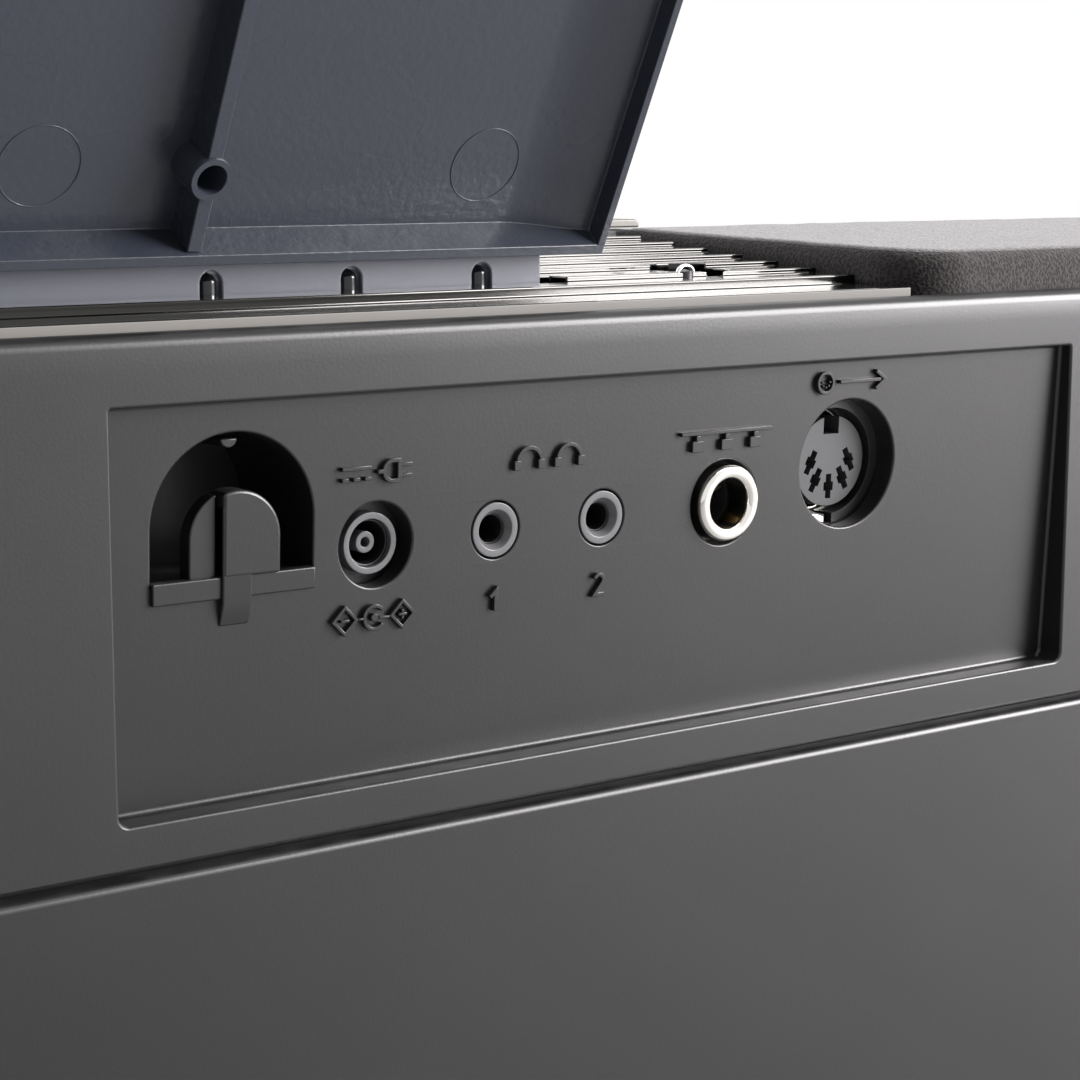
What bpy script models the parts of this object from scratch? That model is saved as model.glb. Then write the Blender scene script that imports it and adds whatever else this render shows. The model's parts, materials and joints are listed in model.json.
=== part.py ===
"""Slab digital piano with 88 keys, built as an assembly of separate pieces.

Metres, +Z up, +Y towards the back, bass keys at -X. The origin lies at floor level under
the middle of the whole box, music rest included. Places on the connector panel are given
as (u, v, w): u runs right along the back as seen from behind, v runs up, w runs out of the
back, and all three are zero at the top left corner of the connector recess.
"""
import math

import bmesh
import bpy
from mathutils import Vector

for item in list(bpy.data.objects):
    bpy.data.objects.remove(item, do_unlink=True)

# Whole instrument
WIDTH = 1.312
DEPTH = 0.317
FOOT_HEIGHT = 0.005
WALL = 0.003
GAP = 0.0003
END_X = WIDTH / 2
REAR_Y = DEPTH / 2
FRONT_Y = -DEPTH / 2

# Connector recess in the back wall
RECESS_X = -0.1473
RECESS_Z = 0.1335
RECESS_WIDTH = 0.1523
RECESS_HEIGHT = 0.046
RECESS_DEPTH = 0.0029
RECESS_CORNER = 0.0013
RECESS_LEAN = 0.0475
LEAN_Z = RECESS_Z - 0.01895

# Levels of the upper case
SEAM_Z = RECESS_Z - 0.0507
LOWER_EDGE_Z = RECESS_Z - 0.0522
RIM_Z = RECESS_Z + 0.0080
SHOULDER_Z = RECESS_Z + 0.0145
CREST_Z = RECESS_Z + 0.0150
DECK_Z = RECESS_Z + 0.0120
TRAY_Z = RECESS_Z + 0.0040
RIM_DEPTH = 0.0020
PLATE_FRONT_Y = REAR_Y - 0.0660
FOAM_FRONT_Y = REAR_Y - 0.0690
CREST_FRONT_Y = REAR_Y - 0.0760
DECK_BACK_Y = REAR_Y - 0.0880
FALL_Y = 0.0040
FALL_Z = 0.1275

# Terraced plate and the slot that holds the music rest
PLATE_HALF = 0.2700
FIRST_LAND = 0.0109
STEP_PITCH = 0.00785
STEP_COUNT = 8
FIRST_RISE = 0.00125
STEP_RISE = 0.00066
PLATE_BACK = 0.0029
SLOT_BACK = 0.0206
SLOT_FRONT = 0.0252
SLOT_HALF = 0.2252
POCKET_X = 0.2509

# Music rest
REST_HALF = 0.2257
REST_FOOT_HALF = 0.2208
REST_LEAN = math.radians(26.7)
REST_HEIGHT = 0.195
REST_THICK = 0.0025
REST_FLANGE = 0.0050
REST_BEND = (REAR_Y - 0.0215, RECESS_Z + 0.0152)
BOSS_RADIUS = 0.0024
PEG_INSET = 0.0094
PEG_PITCH = 0.0197

# Silver strip on the crest in front of the plate
STRIP_HALF = 0.2766
STRIP_BACK = 0.0696
STRIP_FRONT = 0.0755
STRIP_TOP_Z = RECESS_Z + 0.0166

# Foam covers
FOAM_END = 0.6400
FOAM_CORNER = 0.010
FOAM_EDGE = 0.0025

# Keyboard
NATURAL_COUNT = 52
PITCH = 0.02355
KEY_GAP = 0.0010
KEY_FRONT_Y = FRONT_Y + 0.0120
HEAD_LENGTH = 0.050
NATURAL_TOP_Z = 0.1120
SHARP_TOP_Z = 0.1240
SHARP_WIDTH = 0.0105
NATURAL_AXIS = (0.0535, 0.1000)
SHARP_AXIS = (0.0685, 0.1060)
NATURAL_ROD = 0.0030
SHARP_ROD = 0.0025
KEYS_LEFT = -NATURAL_COUNT * PITCH / 2
SINGLE_FIRST = 23
SINGLE_LAST = 29
NOTE_LETTERS = "CDEFGAB"
KEY_BAY_HALF = 0.6134


def finish(name, colour, roughness, metallic=0.0):
    """One Principled material: base colour, roughness and metallic value."""
    material = bpy.data.materials.new(name)
    material.use_nodes = True
    shader = material.node_tree.nodes["Principled BSDF"]
    shader.inputs["Base Color"].default_value = (*colour, 1.0)
    shader.inputs["Roughness"].default_value = roughness
    shader.inputs["Metallic"].default_value = metallic
    return material


CASE_GREY = (0.105, 0.102, 0.107)
REST_NAVY = (0.022, 0.026, 0.036)
SATIN_SILVER = (0.56, 0.56, 0.57)
FOAM_GREY = (0.045, 0.044, 0.047)
IVORY_WHITE = (0.82, 0.81, 0.77)
EBONY_BLACK = (0.012, 0.012, 0.013)
BLACK_PLASTIC = (0.015, 0.015, 0.016)
INSERT_GREY = (0.30, 0.30, 0.31)
NICKEL = (0.78, 0.76, 0.72)
STEEL = (0.55, 0.56, 0.58)
BOARD_GREEN = (0.02, 0.12, 0.05)
FELT_RED = (0.22, 0.02, 0.02)
RUBBER_BLACK = (0.02, 0.02, 0.02)
PAPER_BLACK = (0.03, 0.03, 0.03)
LAMP_RED = (0.35, 0.02, 0.02)


def place(u, v, w):
    """World point of a place on the connector panel."""
    return (RECESS_X - u, REAR_Y + w, RECESS_Z + v)


def add_object(name, mesh_edit, material):
    """Puts a finished bmesh into a new object of the scene."""
    bmesh.ops.recalc_face_normals(mesh_edit, faces=mesh_edit.faces)
    mesh = bpy.data.meshes.new(name)
    mesh_edit.to_mesh(mesh)
    mesh_edit.free()
    if material is not None:
        mesh.materials.append(material)
    thing = bpy.data.objects.new(name, mesh)
    bpy.context.scene.collection.objects.link(thing)
    return thing


def skin(mesh_edit, rings):
    """Closed skin through rings of equal length, capped on the first and the last ring."""
    rows = [[mesh_edit.verts.new(point) for point in ring] for ring in rings]
    for row, following in zip(rows, rows[1:]):
        for index in range(len(row)):
            after = (index + 1) % len(row)
            mesh_edit.faces.new((row[index], row[after], following[after], following[index]))
    mesh_edit.faces.new(rows[0])
    mesh_edit.faces.new(rows[-1])


def loft(name, rings, material=None):
    """One solid through the rings."""
    mesh_edit = bmesh.new()
    skin(mesh_edit, rings)
    return add_object(name, mesh_edit, material)


def prism_x(name, outline, low, high, material=None):
    """Outline of (y, z) points drawn out along X."""
    return loft(name, [[(x, y, z) for y, z in outline] for x in (low, high)], material)


def prism_y(name, outline, low, high, material=None):
    """Outline of (x, z) points drawn out along Y."""
    return loft(name, [[(x, y, z) for x, z in outline] for y in (low, high)], material)


def prism_z(name, outline, low, high, material=None):
    """Outline of (x, y) points drawn out along Z."""
    return loft(name, [[(x, y, z) for x, y in outline] for z in (low, high)], material)


def rectangle(low_a, low_b, high_a, high_b):
    """Four corners of an upright rectangle."""
    return [(low_a, low_b), (high_a, low_b), (high_a, high_b), (low_a, high_b)]


def block(name, low, high, material=None):
    """Rectangular block between two corners."""
    return prism_z(name, rectangle(low[0], low[1], high[0], high[1]), low[2], high[2], material)


def circle(centre, radius, sides, squash=1.0):
    """Points of a circle, or of an ellipse where squash shortens its second axis."""
    points = []
    for index in range(sides):
        angle = 2 * math.pi * (index + 0.5) / sides
        points.append((centre[0] + radius * math.cos(angle), centre[1] + squash * radius * math.sin(angle)))
    return points


def half_circle(centre, radius, steps):
    """Points of the upper half of a circle, from its right end to its left end."""
    points = []
    for step in range(steps + 1):
        angle = math.pi * step / steps
        points.append((centre[0] + radius * math.cos(angle), centre[1] + radius * math.sin(angle)))
    return points


def turned_y(name, centre, profile, sides, material=None):
    """Turned piece on an axis along Y: the profile holds (radius, y) pairs."""
    rings = []
    for radius, y in profile:
        rings.append([(x, y, z) for x, z in circle(centre, radius, sides)])
    return loft(name, rings, material)


def turned_z(name, centre, profile, sides, material=None):
    """Turned piece on an upright axis: the profile holds (radius, z) pairs."""
    rings = []
    for radius, z in profile:
        rings.append([(x, y, z) for x, y in circle(centre, radius, sides)])
    return loft(name, rings, material)


def tube_y(name, centre, profile, sides, material):
    """Ring on an axis along Y, skinned round a closed profile of (radius, y) pairs."""
    mesh_edit = bmesh.new()
    rows = []
    for radius, y in profile:
        rows.append([mesh_edit.verts.new((x, y, z)) for x, z in circle(centre, radius, sides)])
    for row, following in zip(rows, rows[1:] + rows[:1]):
        for index in range(sides):
            after = (index + 1) % sides
            mesh_edit.faces.new((row[index], row[after], following[after], following[index]))
    return add_object(name, mesh_edit, material)


def rod_x(name, centre, radius, low, high, sides, material=None):
    """Round rod along X about the centre (y, z)."""
    return prism_x(name, circle(centre, radius, sides), low, high, material)


def fillet(corners, steps=4):
    """Outline from corners (a, b, radius), each rounded corner drawn as a tangent arc."""
    points = []
    for index, (a, b, radius) in enumerate(corners):
        corner = Vector((a, b))
        if radius == 0:
            points.append((a, b))
            continue
        before = (Vector(corners[index - 1][:2]) - corner).normalized()
        after = (Vector(corners[(index + 1) % len(corners)][:2]) - corner).normalized()
        half = before.angle(after) / 2
        centre = corner + (before + after).normalized() * radius / math.sin(half)
        first = corner + before * radius / math.tan(half) - centre
        last = corner + after * radius / math.tan(half) - centre
        start = math.atan2(first.y, first.x)
        turn = math.remainder(math.atan2(last.y, last.x) - start, 2 * math.pi)
        for step in range(steps + 1):
            angle = start + turn * step / steps
            points.append((centre.x + radius * math.cos(angle), centre.y + radius * math.sin(angle)))
    return points


def inset(outline, distance):
    """Moves every side of a closed counter-clockwise outline inwards by the distance."""
    moved = []
    count = len(outline)
    for index in range(count):
        corner = Vector(outline[index])
        back = (corner - Vector(outline[index - 1])).normalized()
        ahead = (Vector(outline[(index + 1) % count]) - corner).normalized()
        inward = Vector((-back.y, back.x)) + Vector((-ahead.y, ahead.x))
        scale = distance / (1 + back.dot(ahead))
        moved.append((corner.x + inward.x * scale, corner.y + inward.y * scale))
    return moved


def combine(target, tool, operation):
    """Cuts the target with the tool, or joins the tool to it, and hides the tool."""
    modifier = target.modifiers.new(tool.name, "BOOLEAN")
    modifier.operation = operation
    modifier.solver = "EXACT"
    modifier.object = tool
    tool.hide_render = True
    tool.display_type = "WIRE"


def cut(target, tool):
    """Takes the tool's volume out of the target."""
    combine(target, tool, "DIFFERENCE")


def fuse(target, tool):
    """Makes the tool's volume one with the target."""
    combine(target, tool, "UNION")


def set_origin(thing, point):
    """Moves the object's origin to a point and leaves its mesh where it is."""
    shift = Vector(point)
    for vertex in thing.data.vertices:
        vertex.co -= shift
    thing.location = shift


# Connector places on the panel, as (u, v), and the radii of their holes
HOOK_PLACE = (0.0164, -0.0141)
HOOK_RADIUS = 0.01045
HOOK_FOOT_V = -0.0203
DC_PLACE = (0.0355, -0.0182)
DC_HOLE = 0.0051
PHONES_PLACES = ((0.0528, -0.0180), (0.0691, -0.0179))
PHONES_HOLE = 0.0036
DAMPER_PLACE = (0.0894, -0.0177)
DAMPER_HOLE = 0.0056
DIN_PLACE = (0.1112, -0.0142)
DIN_HOLE = 0.0087
PANEL_FLOOR_Y = REAR_Y - RECESS_DEPTH
PANEL_BACK_Y = PANEL_FLOOR_Y - WALL
SOCKET_FACE_Y = PANEL_BACK_Y - GAP
JACK_BOARD_V = -0.0246
BOARD_THICK = 0.0016

# Cord hook: tongue, cross bar and stem
TONGUE_HALF = 0.0056
TONGUE_TOP_V = -0.0100
BAR_HALF = 0.0106
BAR_V = (-0.0224, -0.0199)
BAR_PROUD = 0.0006
STEM_HALF = 0.0019
STEM_V = (-0.0252, -0.0099)
STEM_BEND_V = -0.0228
STEM_PROUD = 0.0014

# Controls on the deck at the bass end
CONTROL_Y = 0.040
BUTTON_SIZE = (0.0134, 0.0064)
POWER_X = -0.575
KNOB_X = -0.535
PIANO_X = -0.490
SOUND_X = -0.465
LAMP_X = -0.592
SPEAKER_X = 0.455
SPEAKER_Y = REAR_Y - 0.0370
SPEAKER_LONG = 0.050
SPEAKER_SQUASH = 0.52


def panel_xz(spot):
    """World (x, z) of a connector's centre."""
    return (RECESS_X - spot[0], RECESS_Z + spot[1])


def upper_case_outline():
    """Side view of the upper case, from the seam over the rim, crest and deck to the fallboard."""
    return fillet([
        (REAR_Y, SEAM_Z, 0),
        (REAR_Y, RIM_Z, 0.0016),
        (REAR_Y - RIM_DEPTH, RIM_Z, 0),
        (REAR_Y - RIM_DEPTH, SHOULDER_Z, 0.0025),
        (CREST_FRONT_Y, CREST_Z, 0.0020),
        (DECK_BACK_Y, DECK_Z, 0.0040),
        (FALL_Y, DECK_Z, 0.0140),
        (FALL_Y, SEAM_Z, 0),
    ])


def add_cord_hook(case):
    """Moulded cord hook: an upright stem on a cross bar, with a round-topped tongue behind it."""
    x, z = panel_xz(HOOK_PLACE)
    foot_z = RECESS_Z + HOOK_FOOT_V
    arch = [(x - HOOK_RADIUS, foot_z), (x + HOOK_RADIUS, foot_z)] + half_circle((x, z), HOOK_RADIUS, 18)
    cut(case, prism_y("hook_opening", arch, PANEL_BACK_Y - 0.002, PANEL_FLOOR_Y + 0.002))

    root = 0.001
    middle = (x, RECESS_Z + TONGUE_TOP_V - TONGUE_HALF)
    tongue = [(x - TONGUE_HALF, foot_z - root), (x + TONGUE_HALF, foot_z - root)]
    tongue += half_circle(middle, TONGUE_HALF, 12)
    fuse(case, prism_y("hook_tongue", tongue, PANEL_BACK_Y + 0.0002, PANEL_FLOOR_Y - 0.0002))

    bar_low = (x - BAR_HALF, PANEL_FLOOR_Y - root, RECESS_Z + BAR_V[0])
    bar_high = (x + BAR_HALF, PANEL_FLOOR_Y + BAR_PROUD, RECESS_Z + BAR_V[1])
    fuse(case, block("hook_bar", bar_low, bar_high))

    stem = [
        (PANEL_FLOOR_Y - 0.8 * root, RECESS_Z + STEM_V[0]),
        (PANEL_FLOOR_Y + 0.3 * root, RECESS_Z + STEM_V[0]),
        (PANEL_FLOOR_Y + STEM_PROUD, RECESS_Z + STEM_BEND_V),
        (PANEL_FLOOR_Y + STEM_PROUD, RECESS_Z + STEM_V[1]),
        (PANEL_FLOOR_Y - 0.8 * root, RECESS_Z + STEM_V[1]),
    ]
    fuse(case, prism_x("hook_stem", stem, x - STEM_HALF, x + STEM_HALF))


def make_top_case(material):
    """Upper shell: back wall with the connector recess, trays for plate and foam, deck and fallboard."""
    case = prism_x("top_case", upper_case_outline(), -END_X, END_X, material)
    side = END_X - WALL
    ceiling = TRAY_Z - WALL
    under = SEAM_Z - 0.005
    hollow = rectangle(FALL_Y + WALL, under, REAR_Y - WALL, ceiling)
    cut(case, prism_x("case_hollow", hollow, -side, side))
    deck_hollow = rectangle(FALL_Y + WALL + 0.004, under, FOAM_FRONT_Y - WALL, DECK_Z - WALL)
    cut(case, prism_x("deck_hollow", deck_hollow, -side, side))
    middle_hollow = rectangle(FALL_Y + WALL + 0.006, under, PLATE_FRONT_Y - WALL, DECK_Z - WALL)
    middle_half = PLATE_HALF - WALL
    cut(case, prism_x("middle_hollow", middle_hollow, -middle_half, middle_half))
    bay = rectangle(FALL_Y - 0.001, under, FALL_Y + WALL + 0.001, FALL_Z)
    cut(case, prism_x("key_bay", bay, -KEY_BAY_HALF, KEY_BAY_HALF))

    tray_back = REAR_Y - RIM_DEPTH
    above = CREST_Z + 0.005
    for sign, name in ((-1, "left"), (1, "right")):
        inner = sign * (PLATE_HALF - 0.001)
        outer = sign * FOAM_END
        low_x, high_x = min(inner, outer), max(inner, outer)
        cut(case, block("foam_tray_" + name, (low_x, FOAM_FRONT_Y, TRAY_Z), (high_x, tray_back, above)))
        speaker_hole = circle((sign * SPEAKER_X, SPEAKER_Y), SPEAKER_LONG, 20, SPEAKER_SQUASH)
        cut(case, prism_z("speaker_hole_" + name, speaker_hole, ceiling - 0.002, TRAY_Z + 0.002))
    plate_low = (-PLATE_HALF - GAP, PLATE_FRONT_Y, TRAY_Z)
    cut(case, block("plate_tray", plate_low, (PLATE_HALF + GAP, tray_back, above)))

    backing_low = place(RECESS_WIDTH + WALL, -RECESS_HEIGHT - WALL, -RECESS_DEPTH - WALL)
    backing_high = place(-WALL, 0.0005, -WALL / 2)
    fuse(case, block("recess_backing", backing_low, backing_high))
    left, right = RECESS_X - RECESS_WIDTH, RECESS_X
    low, high = RECESS_Z - RECESS_HEIGHT, RECESS_Z
    corner = RECESS_CORNER
    recess = fillet([(left, low, corner), (right, low, corner), (right, high, 0), (left, high, 0)])
    slant = [(x, PANEL_FLOOR_Y + RECESS_LEAN * (z - LEAN_Z), z) for x, z in recess]
    mouth = [(x, REAR_Y + 0.002, z) for x, z in recess]
    cut(case, loft("connector_recess", [slant, mouth]))

    holes = [(DC_PLACE, DC_HOLE, 28), (DAMPER_PLACE, DAMPER_HOLE, 28), (DIN_PLACE, DIN_HOLE, 32)]
    holes += [(spot, PHONES_HOLE, 20) for spot in PHONES_PLACES]
    for number, (spot, radius, sides) in enumerate(holes):
        bore = [(radius, PANEL_BACK_Y - 0.002), (radius, PANEL_FLOOR_Y + 0.002)]
        cut(case, turned_y("connector_hole_%d" % number, panel_xz(spot), bore, sides))
    add_cord_hook(case)

    for x in (POWER_X, PIANO_X, SOUND_X):
        half_x, half_y = BUTTON_SIZE[0] / 2 + GAP, BUTTON_SIZE[1] / 2 + GAP
        low = (x - half_x, CONTROL_Y - half_y, DECK_Z - 0.006)
        cut(case, block("button_hole_%d" % round(-x * 1000), low, (x + half_x, CONTROL_Y + half_y, above)))
    for x, radius in ((KNOB_X, 0.0034), (LAMP_X, 0.0018)):
        bore = [(radius, DECK_Z - 0.006), (radius, above)]
        cut(case, turned_z("round_hole_%d" % round(-x * 1000), (x, CONTROL_Y), bore, 16))
    return case


def make_bottom_case(material):
    """Lower tray: floor, walls, key slip along the front, a lip that closes the seam, and ribs."""
    slip_top = 0.0940
    slip_back = KEY_FRONT_Y - 0.0020
    wall_top = SEAM_Z - GAP
    outline = fillet([
        (FRONT_Y, FOOT_HEIGHT, 0.0100),
        (REAR_Y, FOOT_HEIGHT, 0.0100),
        (REAR_Y, LOWER_EDGE_Z, 0.0010),
        (REAR_Y - WALL, LOWER_EDGE_Z, 0),
        (REAR_Y - WALL, wall_top, 0),
        (slip_back, wall_top, 0),
        (slip_back, slip_top, 0.0025),
        (FRONT_Y, slip_top, 0.0035),
    ])
    case = prism_x("bottom_case", outline, -END_X, END_X, material)
    side = END_X - WALL
    floor_z = FOOT_HEIGHT + WALL
    hollow = fillet([
        (slip_back - 0.006, floor_z, 0.004),
        (REAR_Y - WALL, floor_z, 0.006),
        (REAR_Y - WALL, slip_top + 0.01, 0),
        (slip_back, slip_top + 0.01, 0),
        (slip_back, wall_top - 0.012, 0),
        (slip_back - 0.006, wall_top - 0.018, 0),
    ])
    cut(case, prism_x("tray_hollow", hollow, -side, side))
    for sign, name in ((-1, "left"), (1, "right")):
        near, far = sign * KEY_BAY_HALF, sign * (END_X + 0.01)
        low_x, high_x = min(near, far), max(near, far)
        low = (low_x, FRONT_Y - 0.01, wall_top)
        cut(case, block("slip_end_" + name, low, (high_x, slip_back + 0.01, slip_top + 0.01)))
    lip_back = REAR_Y - WALL - GAP
    lip = rectangle(lip_back - 0.0022, LOWER_EDGE_Z - 0.010, lip_back, SEAM_Z + 0.0012)
    fuse(case, prism_x("seam_lip", lip, -side + 0.002, side - 0.002))
    shelf = rectangle(lip_back - 0.0022, LOWER_EDGE_Z - 0.010, REAR_Y - 0.001, LOWER_EDGE_Z - 0.007)
    fuse(case, prism_x("lip_shelf", shelf, -side + 0.002, side - 0.002))
    for number in range(7):
        x = -0.54 + 0.18 * number
        low = (x - 0.001, REAR_Y - 0.0605, floor_z - 0.001)
        fuse(case, block("floor_rib_%d" % number, low, (x + 0.001, REAR_Y - 0.002, floor_z + 0.008)))
    return case


def make_end_blocks(material):
    """Cheek blocks at both ends of the keyboard, curved down towards the player."""
    base = SEAM_Z
    outline = fillet([
        (FRONT_Y, base, 0),
        (FALL_Y - GAP, base, 0),
        (FALL_Y - GAP, DECK_Z - 0.0141, 0),
        (-0.020, 0.1300, 0.060),
        (-0.090, 0.1205, 0.080),
        (FRONT_Y, 0.1150, 0.016),
    ], steps=6)
    for sign, name in ((-1, "end_block_left"), (1, "end_block_right")):
        inner = sign * (KEY_BAY_HALF + GAP)
        rings = []
        soft, round_off = 0.0012, 0.0020
        sides = (
            (inner, soft), (inner + sign * soft, 0),
            (sign * (END_X - round_off), 0), (sign * END_X, round_off),
        )
        for x, distance in sides:
            rings.append([(x, y, z) for y, z in inset(outline, distance)])
        loft(name, rings, material)


def plate_corners():
    """Back top corner of every terrace, as (w, v) below the recess frame, from the back forwards."""
    corners = []
    w = -PLATE_BACK
    v = SHOULDER_Z - RECESS_Z - 0.0054
    for step in range(STEP_COUNT):
        corners.append((w, v))
        w -= FIRST_LAND if step == 0 else STEP_PITCH
        v += FIRST_RISE if step == 0 else STEP_RISE
    return corners


def make_stepped_plate(material):
    """Terraced plate behind the deck, with the rest's slot, its pegs and the screw pockets."""
    base = TRAY_Z + GAP
    front = PLATE_FRONT_Y + GAP
    outline = [(REAR_Y - PLATE_BACK, base)]
    level = None
    for w, v in plate_corners():
        if level is not None:
            outline.append((REAR_Y + w, level))
        level = RECESS_Z + v
        outline.append((REAR_Y + w, level))
    outline += [(front, level), (front, base)]
    plate = prism_x("stepped_plate", outline, -PLATE_HALF, PLATE_HALF, material)
    slot_floor = base + 0.0012
    slot_low = (-SLOT_HALF, REAR_Y - SLOT_FRONT, slot_floor)
    cut(plate, block("rest_slot", slot_low, (SLOT_HALF, REAR_Y - SLOT_BACK, CREST_Z)))
    for sign in (-1, 1):
        for number in range(3):
            x = sign * (REST_FOOT_HALF - PEG_INSET - PEG_PITCH * number)
            peg = [(0.0009, slot_floor - 0.0005), (0.0009, RECESS_Z + 0.0120), (0.0004, RECESS_Z + 0.0128)]
            centre = (x, REAR_Y - SLOT_BACK - 0.0018)
            fuse(plate, turned_z("peg_%d_%d" % (sign + 1, number), centre, peg, 10))
        pocket = circle((sign * POCKET_X, REAR_Y - 0.0272), 0.0055, 16, 1.05)
        cut(plate, prism_z("pocket_%d" % (sign + 1), pocket, base + 0.0015, CREST_Z))
    return plate


def make_front_strip(material):
    """Low silver strip on the crest of the case, in front of the terraced plate."""
    base = CREST_Z + GAP
    outline = fillet([
        (-STRIP_HALF, base, 0),
        (STRIP_HALF, base, 0),
        (STRIP_HALF, STRIP_TOP_Z, 0.0010),
        (-STRIP_HALF, STRIP_TOP_Z, 0.0010),
    ])
    prism_y("front_strip", outline, REAR_Y - STRIP_FRONT, REAR_Y - STRIP_BACK, material)


def foam_top(y):
    """Height of the foam's top, which climbs gently from the back to the deck."""
    return RECESS_Z + 0.0141 + 0.0015 * (REAR_Y - 0.005 - y) / (REAR_Y - 0.005 - FOAM_FRONT_Y)


def make_foam_covers(material):
    """Open-cell foam speaker covers in the trays beside the plate."""
    back = REAR_Y - RIM_DEPTH - GAP
    front = FOAM_FRONT_Y + GAP
    inner = PLATE_HALF + 2 * GAP
    outer = FOAM_END - GAP
    for sign, name in ((-1, "foam_cover_left"), (1, "foam_cover_right")):
        outline = fillet([
            (min(sign * inner, sign * outer), front, 0.003),
            (max(sign * inner, sign * outer), front, 0.003),
            (max(sign * inner, sign * outer), back, FOAM_CORNER if sign < 0 else 0.003),
            (min(sign * inner, sign * outer), back, 0.003 if sign < 0 else FOAM_CORNER),
        ])
        rings = [[(x, y, TRAY_Z + GAP) for x, y in outline]]
        for step in range(4):
            angle = math.pi / 2 * step / 3
            drop = FOAM_EDGE * (1 - math.sin(angle))
            edge = inset(outline, FOAM_EDGE * (1 - math.cos(angle)))
            rings.append([(x, y, foam_top(y) - drop) for x, y in edge])
        loft(name, rings, material)


def rest_point(along, out):
    """Point (y, z) of the music rest, from its bend: along its lean, and out of its back."""
    y = REST_BEND[0] + along * math.sin(REST_LEAN) + out * math.cos(REST_LEAN)
    z = REST_BEND[1] + along * math.cos(REST_LEAN) - out * math.sin(REST_LEAN)
    return (y, z)


def rest_strip(name, along, out, low_x, high_x):
    """Straight bar of the rest between two distances along its lean and out of its back."""
    outline = [
        rest_point(along[0], out[0]),
        rest_point(along[1], out[0]),
        rest_point(along[1], out[1]),
        rest_point(along[0], out[1]),
    ]
    return prism_x(name, outline, low_x, high_x)


def make_music_rest(material):
    """Leaning music rest: panel with rim flanges, ribs with ring bosses, a sheet ledge and a foot."""
    thick = REST_THICK
    rest = rest_strip("rest_panel", (0, REST_HEIGHT), (-thick, 0), -REST_HALF, REST_HALF)
    rest.name = "music_rest"
    rest.data.materials.append(material)
    lean_out = thick * math.cos(REST_LEAN)
    foot_low = (-REST_FOOT_HALF, REST_BEND[0] - thick, RECESS_Z + 0.0060)
    foot_high = (REST_FOOT_HALF, REST_BEND[0], REST_BEND[1] + lean_out / 2)
    foot = block("rest_foot", foot_low, foot_high)
    for sign in (-1, 1):
        for number in range(3):
            x = sign * (REST_FOOT_HALF - PEG_INSET - PEG_PITCH * number)
            half = 0.0013
            notch = [(x - half, RECESS_Z), (x + half, RECESS_Z)]
            for step in range(7):
                angle = math.pi * step / 6
                notch.append((x + half * math.cos(angle), RECESS_Z + 0.0119 + half * math.sin(angle)))
            name = "notch_%d_%d" % (sign + 1, number)
            cut(foot, prism_y(name, notch, foot_low[1] - 0.002, foot_high[1] + 0.002))
    fuse(rest, foot)
    lip = 0.0012
    fuse(rest, rest_strip("flange_low", (0.0023, 0.0035), (-0.0005, REST_FLANGE), -REST_HALF, REST_HALF))
    top = (REST_HEIGHT - lip, REST_HEIGHT)
    fuse(rest, rest_strip("flange_top", top, (-0.0005, REST_FLANGE), -REST_HALF, REST_HALF))
    for sign in (-1, 1):
        low_x, high_x = sorted((sign * REST_HALF, sign * (REST_HALF - lip)))
        side = (0.0025, REST_HEIGHT - 0.0003)
        out = (-0.0005, REST_FLANGE - 0.0001)
        fuse(rest, rest_strip("flange_side_%d" % (sign + 1), side, out, low_x, high_x))
    for x in (-0.1632, -0.0544, 0.0544, 0.1632):
        rib = (0.0030, REST_HEIGHT - 0.0008)
        rib_name = "rib_%d" % round(x * 1000)
        fuse(rest, rest_strip(rib_name, rib, (-0.0005, REST_FLANGE - 0.0012), x - 0.0006, x + 0.0006))
        for number, along in enumerate((0.0107, REST_HEIGHT - 0.020)):
            inner_y, inner_z = rest_point(along, -0.0006)
            outer_y, outer_z = rest_point(along, REST_FLANGE - 0.0002)
            rings = []
            for y, z in ((inner_y, inner_z), (outer_y, outer_z)):
                ring = circle((0, 0), BOSS_RADIUS, 12)
                up_y, up_z = math.sin(REST_LEAN), math.cos(REST_LEAN)
                rings.append([(x + a, y + b * up_y, z + b * up_z) for a, b in ring])
            fuse(rest, loft("boss_%d_%d" % (round(x * 1000), number), rings))
    ledge_half = REST_HALF - 0.008
    fuse(rest, rest_strip("ledge_shelf", (0.0020, 0.0045), (-0.0200, -0.0020), -ledge_half, ledge_half))
    fuse(rest, rest_strip("ledge_stop", (0.0020, 0.0100), (-0.0200, -0.0180), -ledge_half, ledge_half))
    return rest


def socket_body(name, spot, half_width, half_height, depth, material):
    """Moulded housing of a socket, which stands on the jack board behind the panel."""
    x, z = panel_xz(spot)
    low = (x - half_width, SOCKET_FACE_Y - depth, RECESS_Z + JACK_BOARD_V + GAP)
    return block(name, low, (x + half_width, SOCKET_FACE_Y, z + half_height), material)


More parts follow.
